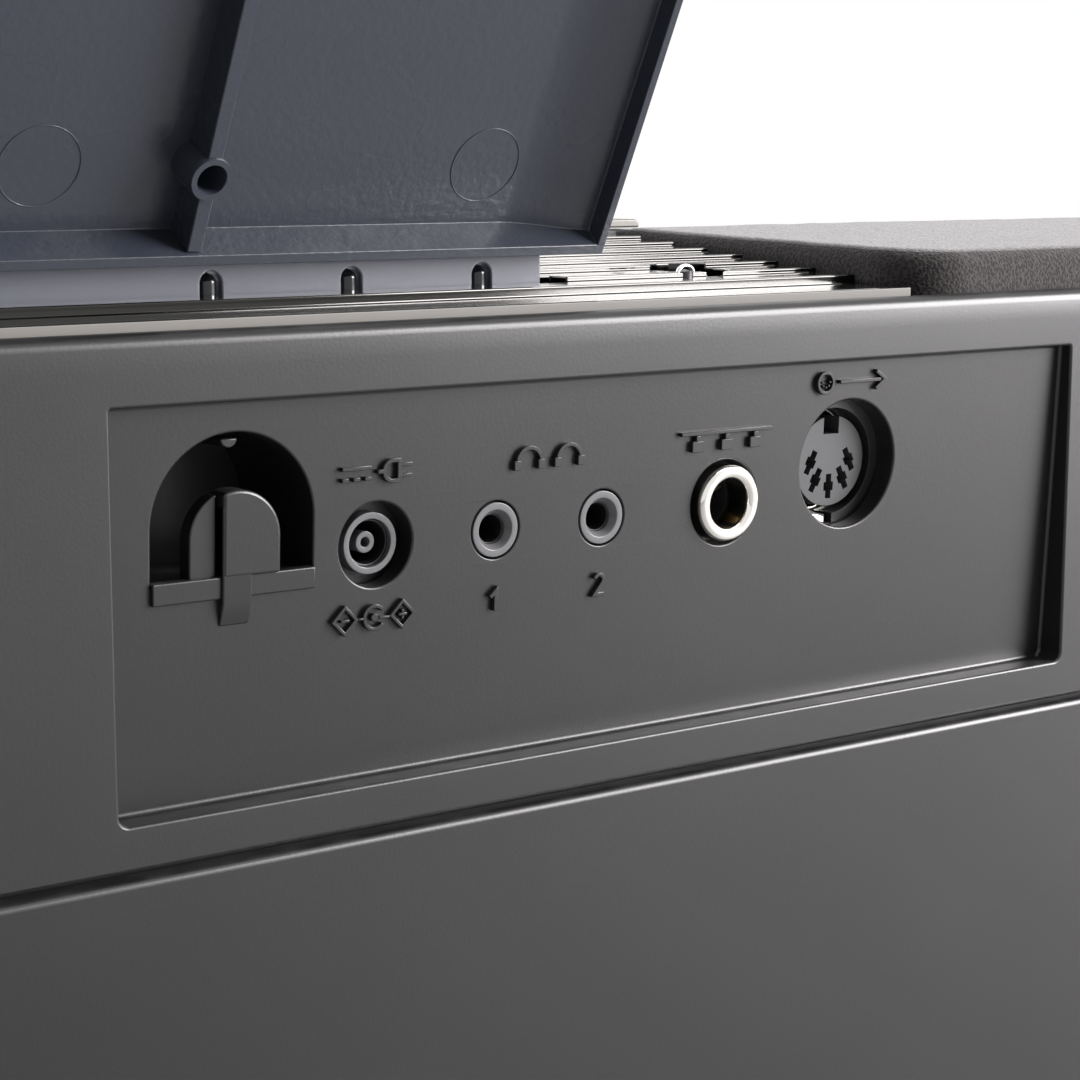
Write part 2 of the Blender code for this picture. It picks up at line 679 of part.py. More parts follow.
def make_sockets():
    """The row of connectors and the board that they are soldered to."""
    black = finish("socket_black", BLACK_PLASTIC, 0.45)
    grey = finish("collar_grey", CASE_GREY, 0.5)
    insert_grey = finish("insert_grey", INSERT_GREY, 0.45)
    nickel = finish("nickel", NICKEL, 0.18, 1.0)
    sink = 0.001

    spot = panel_xz(DC_PLACE)
    well_end = SOCKET_FACE_Y - 0.0100
    dc_socket = socket_body("dc_socket", DC_PLACE, 0.0070, 0.0060, 0.0130, grey)
    barrel = [(0.0039, SOCKET_FACE_Y - sink), (0.0039, PANEL_FLOOR_Y - 0.0013)]
    fuse(dc_socket, turned_y("dc_barrel", spot, barrel, 24))
    bore = [(0.0029, well_end), (0.0029, PANEL_FLOOR_Y + sink)]
    cut(dc_socket, turned_y("dc_bore", spot, bore, 24))
    pin = [(0.0013, well_end + GAP), (0.0013, PANEL_FLOOR_Y - 0.0024)]
    turned_y("dc_pin", spot, pin, 16, nickel)

    for number, place_uv in enumerate(PHONES_PLACES):
        spot = panel_xz(place_uv)
        socket = socket_body("phones_socket_%d" % (number + 1), place_uv, 0.0060, 0.0062, 0.0140, grey)
        collar = [(0.0033, SOCKET_FACE_Y - sink), (0.0033, PANEL_FLOOR_Y)]
        fuse(socket, turned_y("phones_collar_%d" % number, spot, collar, 24))
        bore_end = SOCKET_FACE_Y - 0.0120
        bore = [(0.0018, bore_end), (0.0018, PANEL_FLOOR_Y - 0.0006), (0.0025, PANEL_FLOOR_Y + 0.0001)]
        cut(socket, turned_y("phones_bore_%d" % number, spot, bore, 20))

    spot = panel_xz(DAMPER_PLACE)
    damper = socket_body("damper_socket", DAMPER_PLACE, 0.0085, 0.0065, 0.0280, black)
    bore = [(0.00325, SOCKET_FACE_Y - 0.0250), (0.00325, SOCKET_FACE_Y + sink)]
    cut(damper, turned_y("damper_bore", spot, bore, 20))
    ferrule = [
        (0.0050, SOCKET_FACE_Y + GAP),
        (0.0050, PANEL_FLOOR_Y + 0.0010),
        (0.0046, PANEL_FLOOR_Y + 0.00145),
        (0.0036, PANEL_FLOOR_Y + 0.00145),
        (0.00325, PANEL_FLOOR_Y + 0.0010),
        (0.00325, SOCKET_FACE_Y + GAP),
    ]
    tube_y("damper_ferrule", spot, ferrule, 24, nickel)

    spot = panel_xz(DIN_PLACE)
    din = socket_body("din_socket", DIN_PLACE, 0.0098, 0.0098, 0.0150, black)
    well_end = SOCKET_FACE_Y - 0.0105
    cut(din, turned_y("din_well", spot, [(0.0078, well_end), (0.0078, SOCKET_FACE_Y + sink)], 28))
    insert_face = PANEL_FLOOR_Y - 0.0035
    plug = [(0.0063, well_end + GAP), (0.0063, insert_face)]
    insert = turned_y("din_insert", spot, plug, 28, insert_grey)
    hole_end = insert_face - 0.0030
    for number in range(5):
        angle = math.radians(180 + 45 * number)
        centre = (spot[0] + 0.0035 * math.cos(angle), spot[1] + 0.0035 * math.sin(angle))
        hole = [(0.00075, hole_end), (0.00075, insert_face + sink)]
        cut(insert, turned_y("pin_hole_%d" % number, centre, hole, 8))
    key_low = (spot[0] - 0.0014, hole_end, spot[1] + 0.0037)
    key_high = (spot[0] + 0.0014, insert_face + sink, spot[1] + 0.0070)
    cut(insert, block("din_key", key_low, key_high))
    shield_front = insert_face - 0.0015
    shield = [
        (0.0075, well_end + GAP),
        (0.0075, shield_front),
        (0.0070, shield_front),
        (0.0070, well_end + GAP),
    ]
    tube_y("din_shield", spot, shield, 28, nickel)

    board = finish("board", BOARD_GREEN, 0.5)
    low = place(0.1240, JACK_BOARD_V - BOARD_THICK, -0.0380)
    block("jack_board", low, place(0.0270, JACK_BOARD_V, -0.0070), board)


def make_controls():
    """Three push buttons, the volume knob, the power lamp and the board under them."""
    dark = finish("button_dark", BLACK_PLASTIC, 0.4)
    lamp = finish("lamp_red", LAMP_RED, 0.2)
    board = finish("control_board", BOARD_GREEN, 0.5)
    top = DECK_Z + 0.0014
    shoulder = DECK_Z - WALL - 0.0003
    foot = DECK_Z - 0.0083
    for name, x in (("power_button", POWER_X), ("piano_button", PIANO_X), ("sound_button", SOUND_X)):
        half_x, half_y = BUTTON_SIZE[0] / 2, BUTTON_SIZE[1] / 2
        cap = rectangle(x - half_x, CONTROL_Y - half_y, x + half_x, CONTROL_Y + half_y)
        base = inset(cap, -0.0015)
        rings = [(base, foot), (base, shoulder - 0.0008), (cap, shoulder - 0.0006), (cap, top - 0.0006)]
        rings.append((inset(cap, 0.0006), top))
        button = loft(name, [[(a, b, z) for a, b in ring] for ring, z in rings], dark)
        set_origin(button, (x, CONTROL_Y, DECK_Z))
    flutes = 18
    rim = []
    for index in range(2 * flutes):
        angle = math.pi * index / flutes
        radius = 0.0080 if index % 2 else 0.0076
        rim.append((math.cos(angle) * radius, math.sin(angle) * radius))
    base_z = DECK_Z + GAP
    shaft = 0.344
    levels = (
        (shaft, foot), (shaft, base_z), (1.0, base_z),
        (0.94, base_z + 0.0105), (0.84, base_z + 0.0115),
    )
    rings = [[(KNOB_X + a * scale, CONTROL_Y + b * scale, z) for a, b in rim] for scale, z in levels]
    knob = loft("volume_knob", rings, dark)
    set_origin(knob, (KNOB_X, CONTROL_Y, DECK_Z))
    lens = [(0.0015, DECK_Z - 0.005), (0.0015, DECK_Z + 0.0002), (0.0008, DECK_Z + 0.0005)]
    turned_z("power_lamp", (LAMP_X, CONTROL_Y), lens, 12, lamp)
    board_top = foot - 0.0015
    low = (LAMP_X - 0.008, CONTROL_Y - 0.016, board_top - BOARD_THICK)
    block("control_board", low, (SOUND_X + 0.012, CONTROL_Y + 0.016, board_top), board)


def ribbon(path, thickness):
    """Closed outline of a bent sheet whose middle follows the path."""
    left, right = [], []
    for index, point in enumerate(path):
        here = Vector(point)
        back = (here - Vector(path[index - 1])).normalized() if index else None
        ahead = (Vector(path[index + 1]) - here).normalized() if index + 1 < len(path) else None
        back = back or ahead
        ahead = ahead or back
        normal = Vector((-back.y, back.x)) + Vector((-ahead.y, ahead.x))
        shift = normal * (thickness / 2) / (1 + back.dot(ahead))
        left.append(tuple(here + shift))
        right.append(tuple(here - shift))
    return left + right[::-1]


def make_key_frame():
    """Bent steel chassis under the keys, its stop felts, contact board and fixed pivot rods."""
    steel = finish("chassis_steel", STEEL, 0.4, 1.0)
    felt = finish("stop_felt", FELT_RED, 0.95)
    board = finish("contact_board", BOARD_GREEN, 0.5)
    sheet = 0.0016
    floor_z = FOOT_HEIGHT + WALL + GAP + sheet / 2
    low_z = 0.045
    front_rail_z = 0.0790
    sharp_rail_z = 0.0805
    board_z = 0.0700
    natural_seat_z = NATURAL_AXIS[1] - NATURAL_ROD - GAP - sheet / 2
    sharp_seat_z = SHARP_AXIS[1] - SHARP_ROD - GAP - sheet / 2
    path = [
        (-0.1440, floor_z), (-0.1370, floor_z), (-0.1350, front_rail_z), (-0.1210, front_rail_z),
        (-0.1190, low_z), (-0.0980, low_z), (-0.0960, sharp_rail_z), (-0.0850, sharp_rail_z),
        (-0.0830, low_z), (-0.0400, low_z), (-0.0380, board_z), (0.0300, board_z),
        (0.0320, low_z), (0.0450, low_z), (0.0465, natural_seat_z), (0.0610, natural_seat_z),
        (0.0620, sharp_seat_z), (0.0760, sharp_seat_z), (0.0780, floor_z), (0.0900, floor_z),
    ]
    half = KEY_BAY_HALF - 0.0015
    prism_x("key_frame", ribbon(path, sheet), -half, half, steel)
    felt_half = half - 0.004
    for name, low_y, high_y, rail, top in (
        ("natural_stop_felt", -0.1345, -0.1215, front_rail_z, 0.0826),
        ("sharp_stop_felt", -0.0955, -0.0855, sharp_rail_z, 0.0846),
    ):
        base = rail + sheet / 2 + 0.0002
        strip = [(low_y, base, 0), (high_y, base, 0), (high_y, top, 0.001), (low_y, top, 0.001)]
        prism_x(name, fillet(strip, steps=2), -felt_half, felt_half, felt)
    base = board_z + sheet / 2 + GAP
    high = (felt_half, 0.0280, base + BOARD_THICK)
    block("contact_board", (-felt_half, -0.0360, base), high, board)
    low_x = KEYS_LEFT + SINGLE_FIRST * PITCH + 0.0006
    high_x = KEYS_LEFT + (SINGLE_LAST + 1) * PITCH - 0.0006
    rod_x("natural_rod", NATURAL_AXIS, NATURAL_ROD, low_x, high_x, 14, steel)
    rod_x("sharp_rod", SHARP_AXIS, SHARP_ROD, low_x, high_x, 14, steel)
    felt_low = (-KEY_BAY_HALF + 0.002, FALL_Y - 0.0018, FALL_Z + 0.0002)
    felt_high = (KEY_BAY_HALF - 0.002, FALL_Y - GAP, FALL_Z + 0.0030)
    block("fallboard_felt", felt_low, felt_high, felt)


def letter_of(number):
    """Place of a natural in its octave, 0 for C to 6 for B; the lowest natural is an A."""
    return (number + 5) % 7


def has_sharp_above(number):
    """True where a sharp stands between this natural and the next."""
    return letter_of(number) in (0, 1, 3, 4, 5) and number < NATURAL_COUNT - 1


def sharp_centre(number):
    """Middle of the sharp above a natural: octave tails are shared evenly, C to E and F to B."""
    letter = letter_of(number)
    octave_x = KEYS_LEFT + (number - letter) * PITCH
    if letter < 3:
        return octave_x + (2 * letter + 1.5) * 3 * PITCH / 5
    return octave_x + 3 * PITCH + (2 * (letter - 3) + 1.5) * 4 * PITCH / 7


def natural_rings(number):
    """Rings of a hollow natural: chamfered top, outside, lower edge, inside and ceiling."""
    clear = SHARP_WIDTH / 2 + 0.0009
    left = KEYS_LEFT + number * PITCH + KEY_GAP / 2
    right = left + PITCH - KEY_GAP
    shoulder = KEY_FRONT_Y + HEAD_LENGTH
    back = NATURAL_AXIS[0] + 0.0065
    outline = [(left, KEY_FRONT_Y), (right, KEY_FRONT_Y)]
    tail_right, tail_left = right, left
    if has_sharp_above(number):
        tail_right = sharp_centre(number) - clear
        outline += [(right, shoulder), (tail_right, shoulder)]
    outline.append((tail_right, back))
    if number > 0 and has_sharp_above(number - 1):
        tail_left = sharp_centre(number - 1) + clear
        outline += [(tail_left, back), (tail_left, shoulder), (left, shoulder)]
    else:
        outline.append((tail_left, back))

    def lower_edge(y):
        return 0.0920 + 0.0062 * (y - KEY_FRONT_Y) / 0.206

    chamfer = 0.0007
    inner = inset(outline, 0.0016)
    rings = [
        [(x, y, NATURAL_TOP_Z) for x, y in inset(outline, chamfer)],
        [(x, y, NATURAL_TOP_Z - chamfer) for x, y in outline],
        [(x, y, lower_edge(y)) for x, y in outline],
        [(x, y, lower_edge(y)) for x, y in inner],
        [(x, y, NATURAL_TOP_Z - 0.0025) for x, y in inner],
    ]
    return rings


def sharp_rings(number):
    """Rings of a hollow sharp: narrow sloping crown in front, long low tail under the deck."""
    x = sharp_centre(number)
    front = KEY_FRONT_Y + HEAD_LENGTH + 0.0008
    back = SHARP_AXIS[0] + 0.0050
    crown_back = FALL_Y + 0.0060
    half = SHARP_WIDTH / 2

    def lower_edge(y):
        return 0.0950 + 0.0095 * (y - front) / 0.1465

    crown = rectangle(x - half + 0.0011, front + 0.0052, x + half - 0.0011, crown_back)
    brow = rectangle(x - half + 0.0007, front + 0.0038, x + half - 0.0007, crown_back + 0.0005)
    waist = rectangle(x - half, front, x + half, crown_back + 0.0010)
    body = rectangle(x - half, front, x + half, back)
    inner = inset(body, 0.0016)
    rings = [
        [(a, b, SHARP_TOP_Z) for a, b in crown],
        [(a, b, SHARP_TOP_Z - 0.0010) for a, b in brow],
        [(a, b, NATURAL_TOP_Z + 0.0006) for a, b in waist],
        [(a, b, NATURAL_TOP_Z) for a, b in body],
        [(a, b, lower_edge(b)) for a, b in body],
        [(a, b, lower_edge(b)) for a, b in inner],
        [(a, b, NATURAL_TOP_Z - 0.0022) for a, b in inner],
    ]
    return rings


def make_single_keys(white, black):
    """The middle octave: every key on its own, with open saddles that sit on the fixed rods."""
    for number in range(SINGLE_FIRST, SINGLE_LAST + 1):
        letter = NOTE_LETTERS[letter_of(number)].lower()
        key = loft("natural_%s4" % letter, natural_rings(number), white)
        set_origin(key, (KEYS_LEFT + (number + 0.5) * PITCH, *NATURAL_AXIS))
        left = KEYS_LEFT + number * PITCH
        cut(key, rod_x("saddle_%s4" % letter, NATURAL_AXIS, NATURAL_ROD + GAP, left, left + PITCH, 14))
        if has_sharp_above(number):
            key = loft("sharp_%s4" % letter, sharp_rings(number), black)
            middle = sharp_centre(number)
            set_origin(key, (middle, *SHARP_AXIS))
            name = "sharp_saddle_%s4" % letter
            cut(key, rod_x(name, SHARP_AXIS, SHARP_ROD + GAP, middle - 0.008, middle + 0.008, 14))


def make_key_gang(name, numbers, ring_maker, rod, material):
    """A row of keys made one with the stretch of pivot rod that carries them, solid inside."""
    axis, radius, low_x, high_x = rod
    mesh_edit = bmesh.new()
    for number in numbers:
        skin(mesh_edit, ring_maker(number)[:-2])
    gang = add_object(name, mesh_edit, material)
    set_origin(gang, (0, *axis))
    fuse(gang, rod_x(name + "_rod", axis, radius, low_x, high_x, 8))


def make_keyboard():
    """Single keys in the middle and a gang of naturals and of sharps on either side."""
    white = finish("key_white", IVORY_WHITE, 0.25)
    black = finish("key_black", EBONY_BLACK, 0.45)
    make_single_keys(white, black)
    bass = range(0, SINGLE_FIRST)
    treble = range(SINGLE_LAST + 1, NATURAL_COUNT)
    split_low = KEYS_LEFT + SINGLE_FIRST * PITCH
    split_high = KEYS_LEFT + (SINGLE_LAST + 1) * PITCH
    stretches = (
        ("bass", bass, KEYS_LEFT + 0.001, split_low - 0.0006),
        ("treble", treble, split_high + 0.0006, -KEYS_LEFT - 0.001),
    )
    for side, numbers, low_x, high_x in stretches:
        rod = (NATURAL_AXIS, NATURAL_ROD, low_x, high_x)
        make_key_gang(side + "_naturals", numbers, natural_rings, rod, white)
        sharps = [number for number in numbers if has_sharp_above(number)]
        rod = (SHARP_AXIS, SHARP_ROD, low_x, high_x)
        make_key_gang(side + "_sharps", sharps, sharp_rings, rod, black)


def make_speakers():
    """Oval loudspeakers under the foam: basket with magnet, and a paper cone with a dust cap."""
    steel = finish("basket_steel", STEEL, 0.5, 1.0)
    paper = finish("cone_paper", PAPER_BLACK, 0.8)
    top = TRAY_Z - WALL - GAP
    mouth = SPEAKER_SQUASH
    rim = mouth + 0.027
    basket = (
        (0.014, 1.0, top - 0.0262), (SPEAKER_LONG, mouth, top), (0.056, rim, top),
        (0.056, rim, top - 0.0020), (SPEAKER_LONG, mouth, top - 0.0020), (0.022, 1.0, top - 0.0300),
        (0.028, 1.0, top - 0.0302), (0.028, 1.0, top - 0.0440),
    )
    cone = (
        (0.0125, 1.0, top - 0.0237), (0.0450, mouth - 0.03, top - 0.0024),
        (0.0460, mouth - 0.024, top - 0.0012),
        (0.0140, 1.0, top - 0.0197), (0.0100, 1.0, top - 0.0162), (0.0040, 1.0, top - 0.0147),
    )
    for sign, side in ((-1, "left"), (1, "right")):
        centre = (sign * SPEAKER_X, SPEAKER_Y)
        for name, levels, material in (("speaker_" + side, basket, steel), ("cone_" + side, cone, paper)):
            mesh_edit = bmesh.new()
            rings = []
            for radius, squash, z in levels:
                rings.append([(x, y, z) for x, y in circle(centre, radius, 20, squash)])
            skin(mesh_edit, rings)
            bmesh.ops.triangulate(mesh_edit, faces=mesh_edit.faces)
            add_object(name, mesh_edit, material)


def make_main_board():
    """Main circuit board on the floor of the case, with its heat sink and larger parts."""
    green = finish("main_board", BOARD_GREEN, 0.5)
    z = FOOT_HEIGHT + WALL + 0.0095
    board = block("main_board", (-0.160, 0.098, z), (0.160, 0.150, z + BOARD_THICK), green)
    parts = (
        (-0.12, 0.110, 0.030, 0.020, 0.012), (-0.05, 0.120, 0.024, 0.024, 0.004),
        (0.03, 0.118, 0.020, 0.020, 0.003), (0.11, 0.112, 0.040, 0.012, 0.018),
    )
    for number, (x, y, size_x, size_y, height) in enumerate(parts):
        low = (x - size_x / 2, y - size_y / 2, z + 0.001)
        high = (x + size_x / 2, y + size_y / 2, z + BOARD_THICK + height)
        fuse(board, block("board_part_%d" % number, low, high))


def make_feet():
    """Four rubber feet under the lower case."""
    rubber = finish("foot_rubber", RUBBER_BLACK, 0.9)
    for name, x, y in (
        ("foot_front_left", -0.56, -0.115), ("foot_front_right", 0.56, -0.115),
        ("foot_rear_left", -0.56, 0.120), ("foot_rear_right", 0.56, 0.120),
    ):
        profile = [(0.0100, 0.0), (0.0110, 0.0010), (0.0115, FOOT_HEIGHT - GAP)]
        turned_z(name, (x, y), profile, 20, rubber)


def build():
    """Makes every piece of the instrument."""
    case_grey = finish("case_grey", CASE_GREY, 0.42)
    make_bottom_case(case_grey)
    make_top_case(case_grey)
    make_end_blocks(case_grey)
    silver = finish("satin_silver", SATIN_SILVER, 0.3, 0.8)
    make_stepped_plate(silver)
    make_front_strip(silver)
    make_foam_covers(finish("foam", FOAM_GREY, 1.0))
    make_music_rest(finish("rest_navy", REST_NAVY, 0.25))
    make_sockets()
    make_controls()
    make_key_frame()
    make_keyboard()
    make_speakers()
    make_main_board()
    make_feet()


def centre_on_origin():
    """Moves everything so that the origin lies under the middle of the box, music rest included."""
    rest_back = rest_point(REST_HEIGHT, REST_FLANGE)[0]
    shift = (FRONT_Y + rest_back) / 2
    for thing in bpy.data.objects:
        thing.location.y -= shift


build()
centre_on_origin()
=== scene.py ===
import json
import math

import bmesh
import bpy
import numpy as np
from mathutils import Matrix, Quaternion, Vector
from mathutils.geometry import tessellate_polygon

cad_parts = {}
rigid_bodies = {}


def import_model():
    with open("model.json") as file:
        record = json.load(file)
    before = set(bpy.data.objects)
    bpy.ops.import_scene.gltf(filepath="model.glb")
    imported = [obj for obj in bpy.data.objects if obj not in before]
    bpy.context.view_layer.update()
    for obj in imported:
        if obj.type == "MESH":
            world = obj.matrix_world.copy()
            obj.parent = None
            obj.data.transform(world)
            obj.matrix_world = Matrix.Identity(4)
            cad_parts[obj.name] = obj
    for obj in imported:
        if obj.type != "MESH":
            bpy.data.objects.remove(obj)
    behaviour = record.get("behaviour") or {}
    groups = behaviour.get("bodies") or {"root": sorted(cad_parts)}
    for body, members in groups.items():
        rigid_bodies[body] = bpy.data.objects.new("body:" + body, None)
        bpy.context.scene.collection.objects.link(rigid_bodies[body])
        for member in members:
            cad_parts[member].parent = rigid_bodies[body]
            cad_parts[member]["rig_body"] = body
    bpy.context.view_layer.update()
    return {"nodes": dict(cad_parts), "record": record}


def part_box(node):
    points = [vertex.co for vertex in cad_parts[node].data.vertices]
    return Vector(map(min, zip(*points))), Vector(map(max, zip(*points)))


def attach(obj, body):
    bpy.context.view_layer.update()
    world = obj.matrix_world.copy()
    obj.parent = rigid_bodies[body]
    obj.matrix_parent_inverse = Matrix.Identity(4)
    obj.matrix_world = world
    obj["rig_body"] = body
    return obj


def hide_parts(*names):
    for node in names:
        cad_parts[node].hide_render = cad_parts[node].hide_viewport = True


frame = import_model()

nodes = frame["nodes"]

# The studio: a pale floor that runs into a white surround, four soft lamps and the camera, which
# stands behind the bass half at the connector panel's height and looks along the back.
rear_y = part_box("top_case")[1].y
recess_x = -0.1473
recess_z = 0.1335
view_yaw = math.radians(36.97)
view_pitch = math.radians(8.98)
view_roll = math.radians(0.13)
camera_data = bpy.data.cameras.new("camera")
camera_data.lens = 82.58
camera_data.sensor_width = 36.0
camera_data.clip_start = 0.01
camera = bpy.data.objects.new("camera", camera_data)
bpy.context.scene.collection.objects.link(camera)
camera.location = (recess_x + 0.1212, rear_y + 0.2372, recess_z + 0.0276)
aim = Vector((
    -math.sin(view_yaw) * math.cos(view_pitch),
    -math.cos(view_yaw) * math.cos(view_pitch),
    -math.sin(view_pitch),
))
camera.rotation_mode = "QUATERNION"
camera.rotation_quaternion = aim.to_track_quat("-Z", "Y") @ Quaternion((0, 0, 1), view_roll)
bpy.context.scene.camera = camera
bpy.context.scene.view_settings.view_transform = "Standard"


def add_lamp(name, place, target, size, watts, colour=(1.0, 1.0, 1.0)):
    """A square soft lamp at a place, turned to its target."""
    lamp_data = bpy.data.lights.new(name, "AREA")
    lamp_data.size = size
    lamp_data.energy = watts
    lamp_data.color = colour
    lamp = bpy.data.objects.new(name, lamp_data)
    bpy.context.scene.collection.objects.link(lamp)
    lamp.location = place
    lamp.rotation_mode = "QUATERNION"
    lamp.rotation_quaternion = (Vector(target) - Vector(place)).to_track_quat("-Z", "Y")
    return lamp


add_lamp("side_lamp", (-1.75, 1.30, 0.78), (-0.2, 0.12, 0.12), 1.15, 104.0, (1.0, 0.975, 0.985))
add_lamp("top_lamp", (-0.6, 0.4, 1.9), (0.0, 0.05, 0.1), 1.2, 7.0)
add_lamp("far_lamp", (-1.5, -1.9, 0.95), (-0.2, 0.0, 0.1), 1.9, 11.0)
add_lamp("front_lamp", (1.0, -1.9, 1.5), (0.1, 0.0, 0.1), 1.5, 22.0)

world = bpy.data.worlds.new("studio")
bpy.context.scene.world = world
world.use_nodes = True
sky = world.node_tree
sky.nodes.clear()
room_light = sky.nodes.new("ShaderNodeBackground")
room_light.inputs["Color"].default_value = (0.93, 0.95, 1.0, 1.0)
room_light.inputs["Strength"].default_value = 0.12
white_wall = sky.nodes.new("ShaderNodeBackground")
white_wall.inputs["Color"].default_value = (1.0, 1.0, 1.0, 1.0)
rays = sky.nodes.new("ShaderNodeLightPath")
choose = sky.nodes.new("ShaderNodeMixShader")
sky_out = sky.nodes.new("ShaderNodeOutputWorld")
seen_white = sky.nodes.new("ShaderNodeMath")
seen_white.operation = "MAXIMUM"
sky.links.new(rays.outputs["Is Camera Ray"], seen_white.inputs[0])
sky.links.new(rays.outputs["Is Glossy Ray"], seen_white.inputs[1])
sky.links.new(seen_white.outputs[0], choose.inputs[0])
sky.links.new(room_light.outputs[0], choose.inputs[1])
sky.links.new(white_wall.outputs[0], choose.inputs[2])
sky.links.new(choose.outputs[0], sky_out.inputs["Surface"])

floor_data = bpy.data.meshes.new("floor")
reach = 3.0
corners = [(-reach, -reach, 0), (reach, -reach, 0), (reach, reach, 0), (-reach, reach, 0)]
floor_data.from_pydata(corners, [], [(0, 1, 2, 3)])
floor = bpy.data.objects.new("floor", floor_data)
bpy.context.scene.collection.objects.link(floor)


def new_material(name, colour, roughness, metallic=0.0):
    """A Principled material with its colour, roughness and metallic value on the shader's own sockets."""
    material = bpy.data.materials.new(name)
    material.use_nodes = True
    shader = material.node_tree.nodes["Principled BSDF"]
    shader.inputs["Base Color"].default_value = (*colour, 1.0)
    shader.inputs["Roughness"].default_value = roughness
    shader.inputs["Metallic"].default_value = metallic
    return material


def make_floor_material():
    """Pale floor whose colour runs into the white surround between 0.7 m and 2.4 m from the piano."""
    material = new_material("pale_floor", (0.56, 0.56, 0.56), 0.7)
    tree = material.node_tree
    place = tree.nodes.new("ShaderNodeTexCoord")
    far = tree.nodes.new("ShaderNodeVectorMath")
    far.operation = "LENGTH"
    tree.links.new(place.outputs["Object"], far.inputs[0])
    fade = tree.nodes.new("ShaderNodeMapRange")
    fade.interpolation_type = "SMOOTHSTEP"
    tree.links.new(far.outputs["Value"], fade.inputs["Value"])
    fade.inputs["From Min"].default_value = 0.7
    fade.inputs["From Max"].default_value = 2.4
    seen = tree.nodes.new("ShaderNodeLightPath")
    both = tree.nodes.new("ShaderNodeMath")
    both.operation = "MULTIPLY"
    tree.links.new(fade.outputs["Result"], both.inputs[0])
    tree.links.new(seen.outputs["Is Camera Ray"], both.inputs[1])
    white = tree.nodes.new("ShaderNodeEmission")
    choice = tree.nodes.new("ShaderNodeMixShader")
    tree.links.new(both.outputs[0], choice.inputs[0])
    tree.links.new(tree.nodes["Principled BSDF"].outputs[0], choice.inputs[1])
    tree.links.new(white.outputs[0], choice.inputs[2])
    tree.links.new(choice.outputs[0], tree.nodes["Material Output"].inputs["Surface"])
    return material


floor_data.materials.append(make_floor_material())


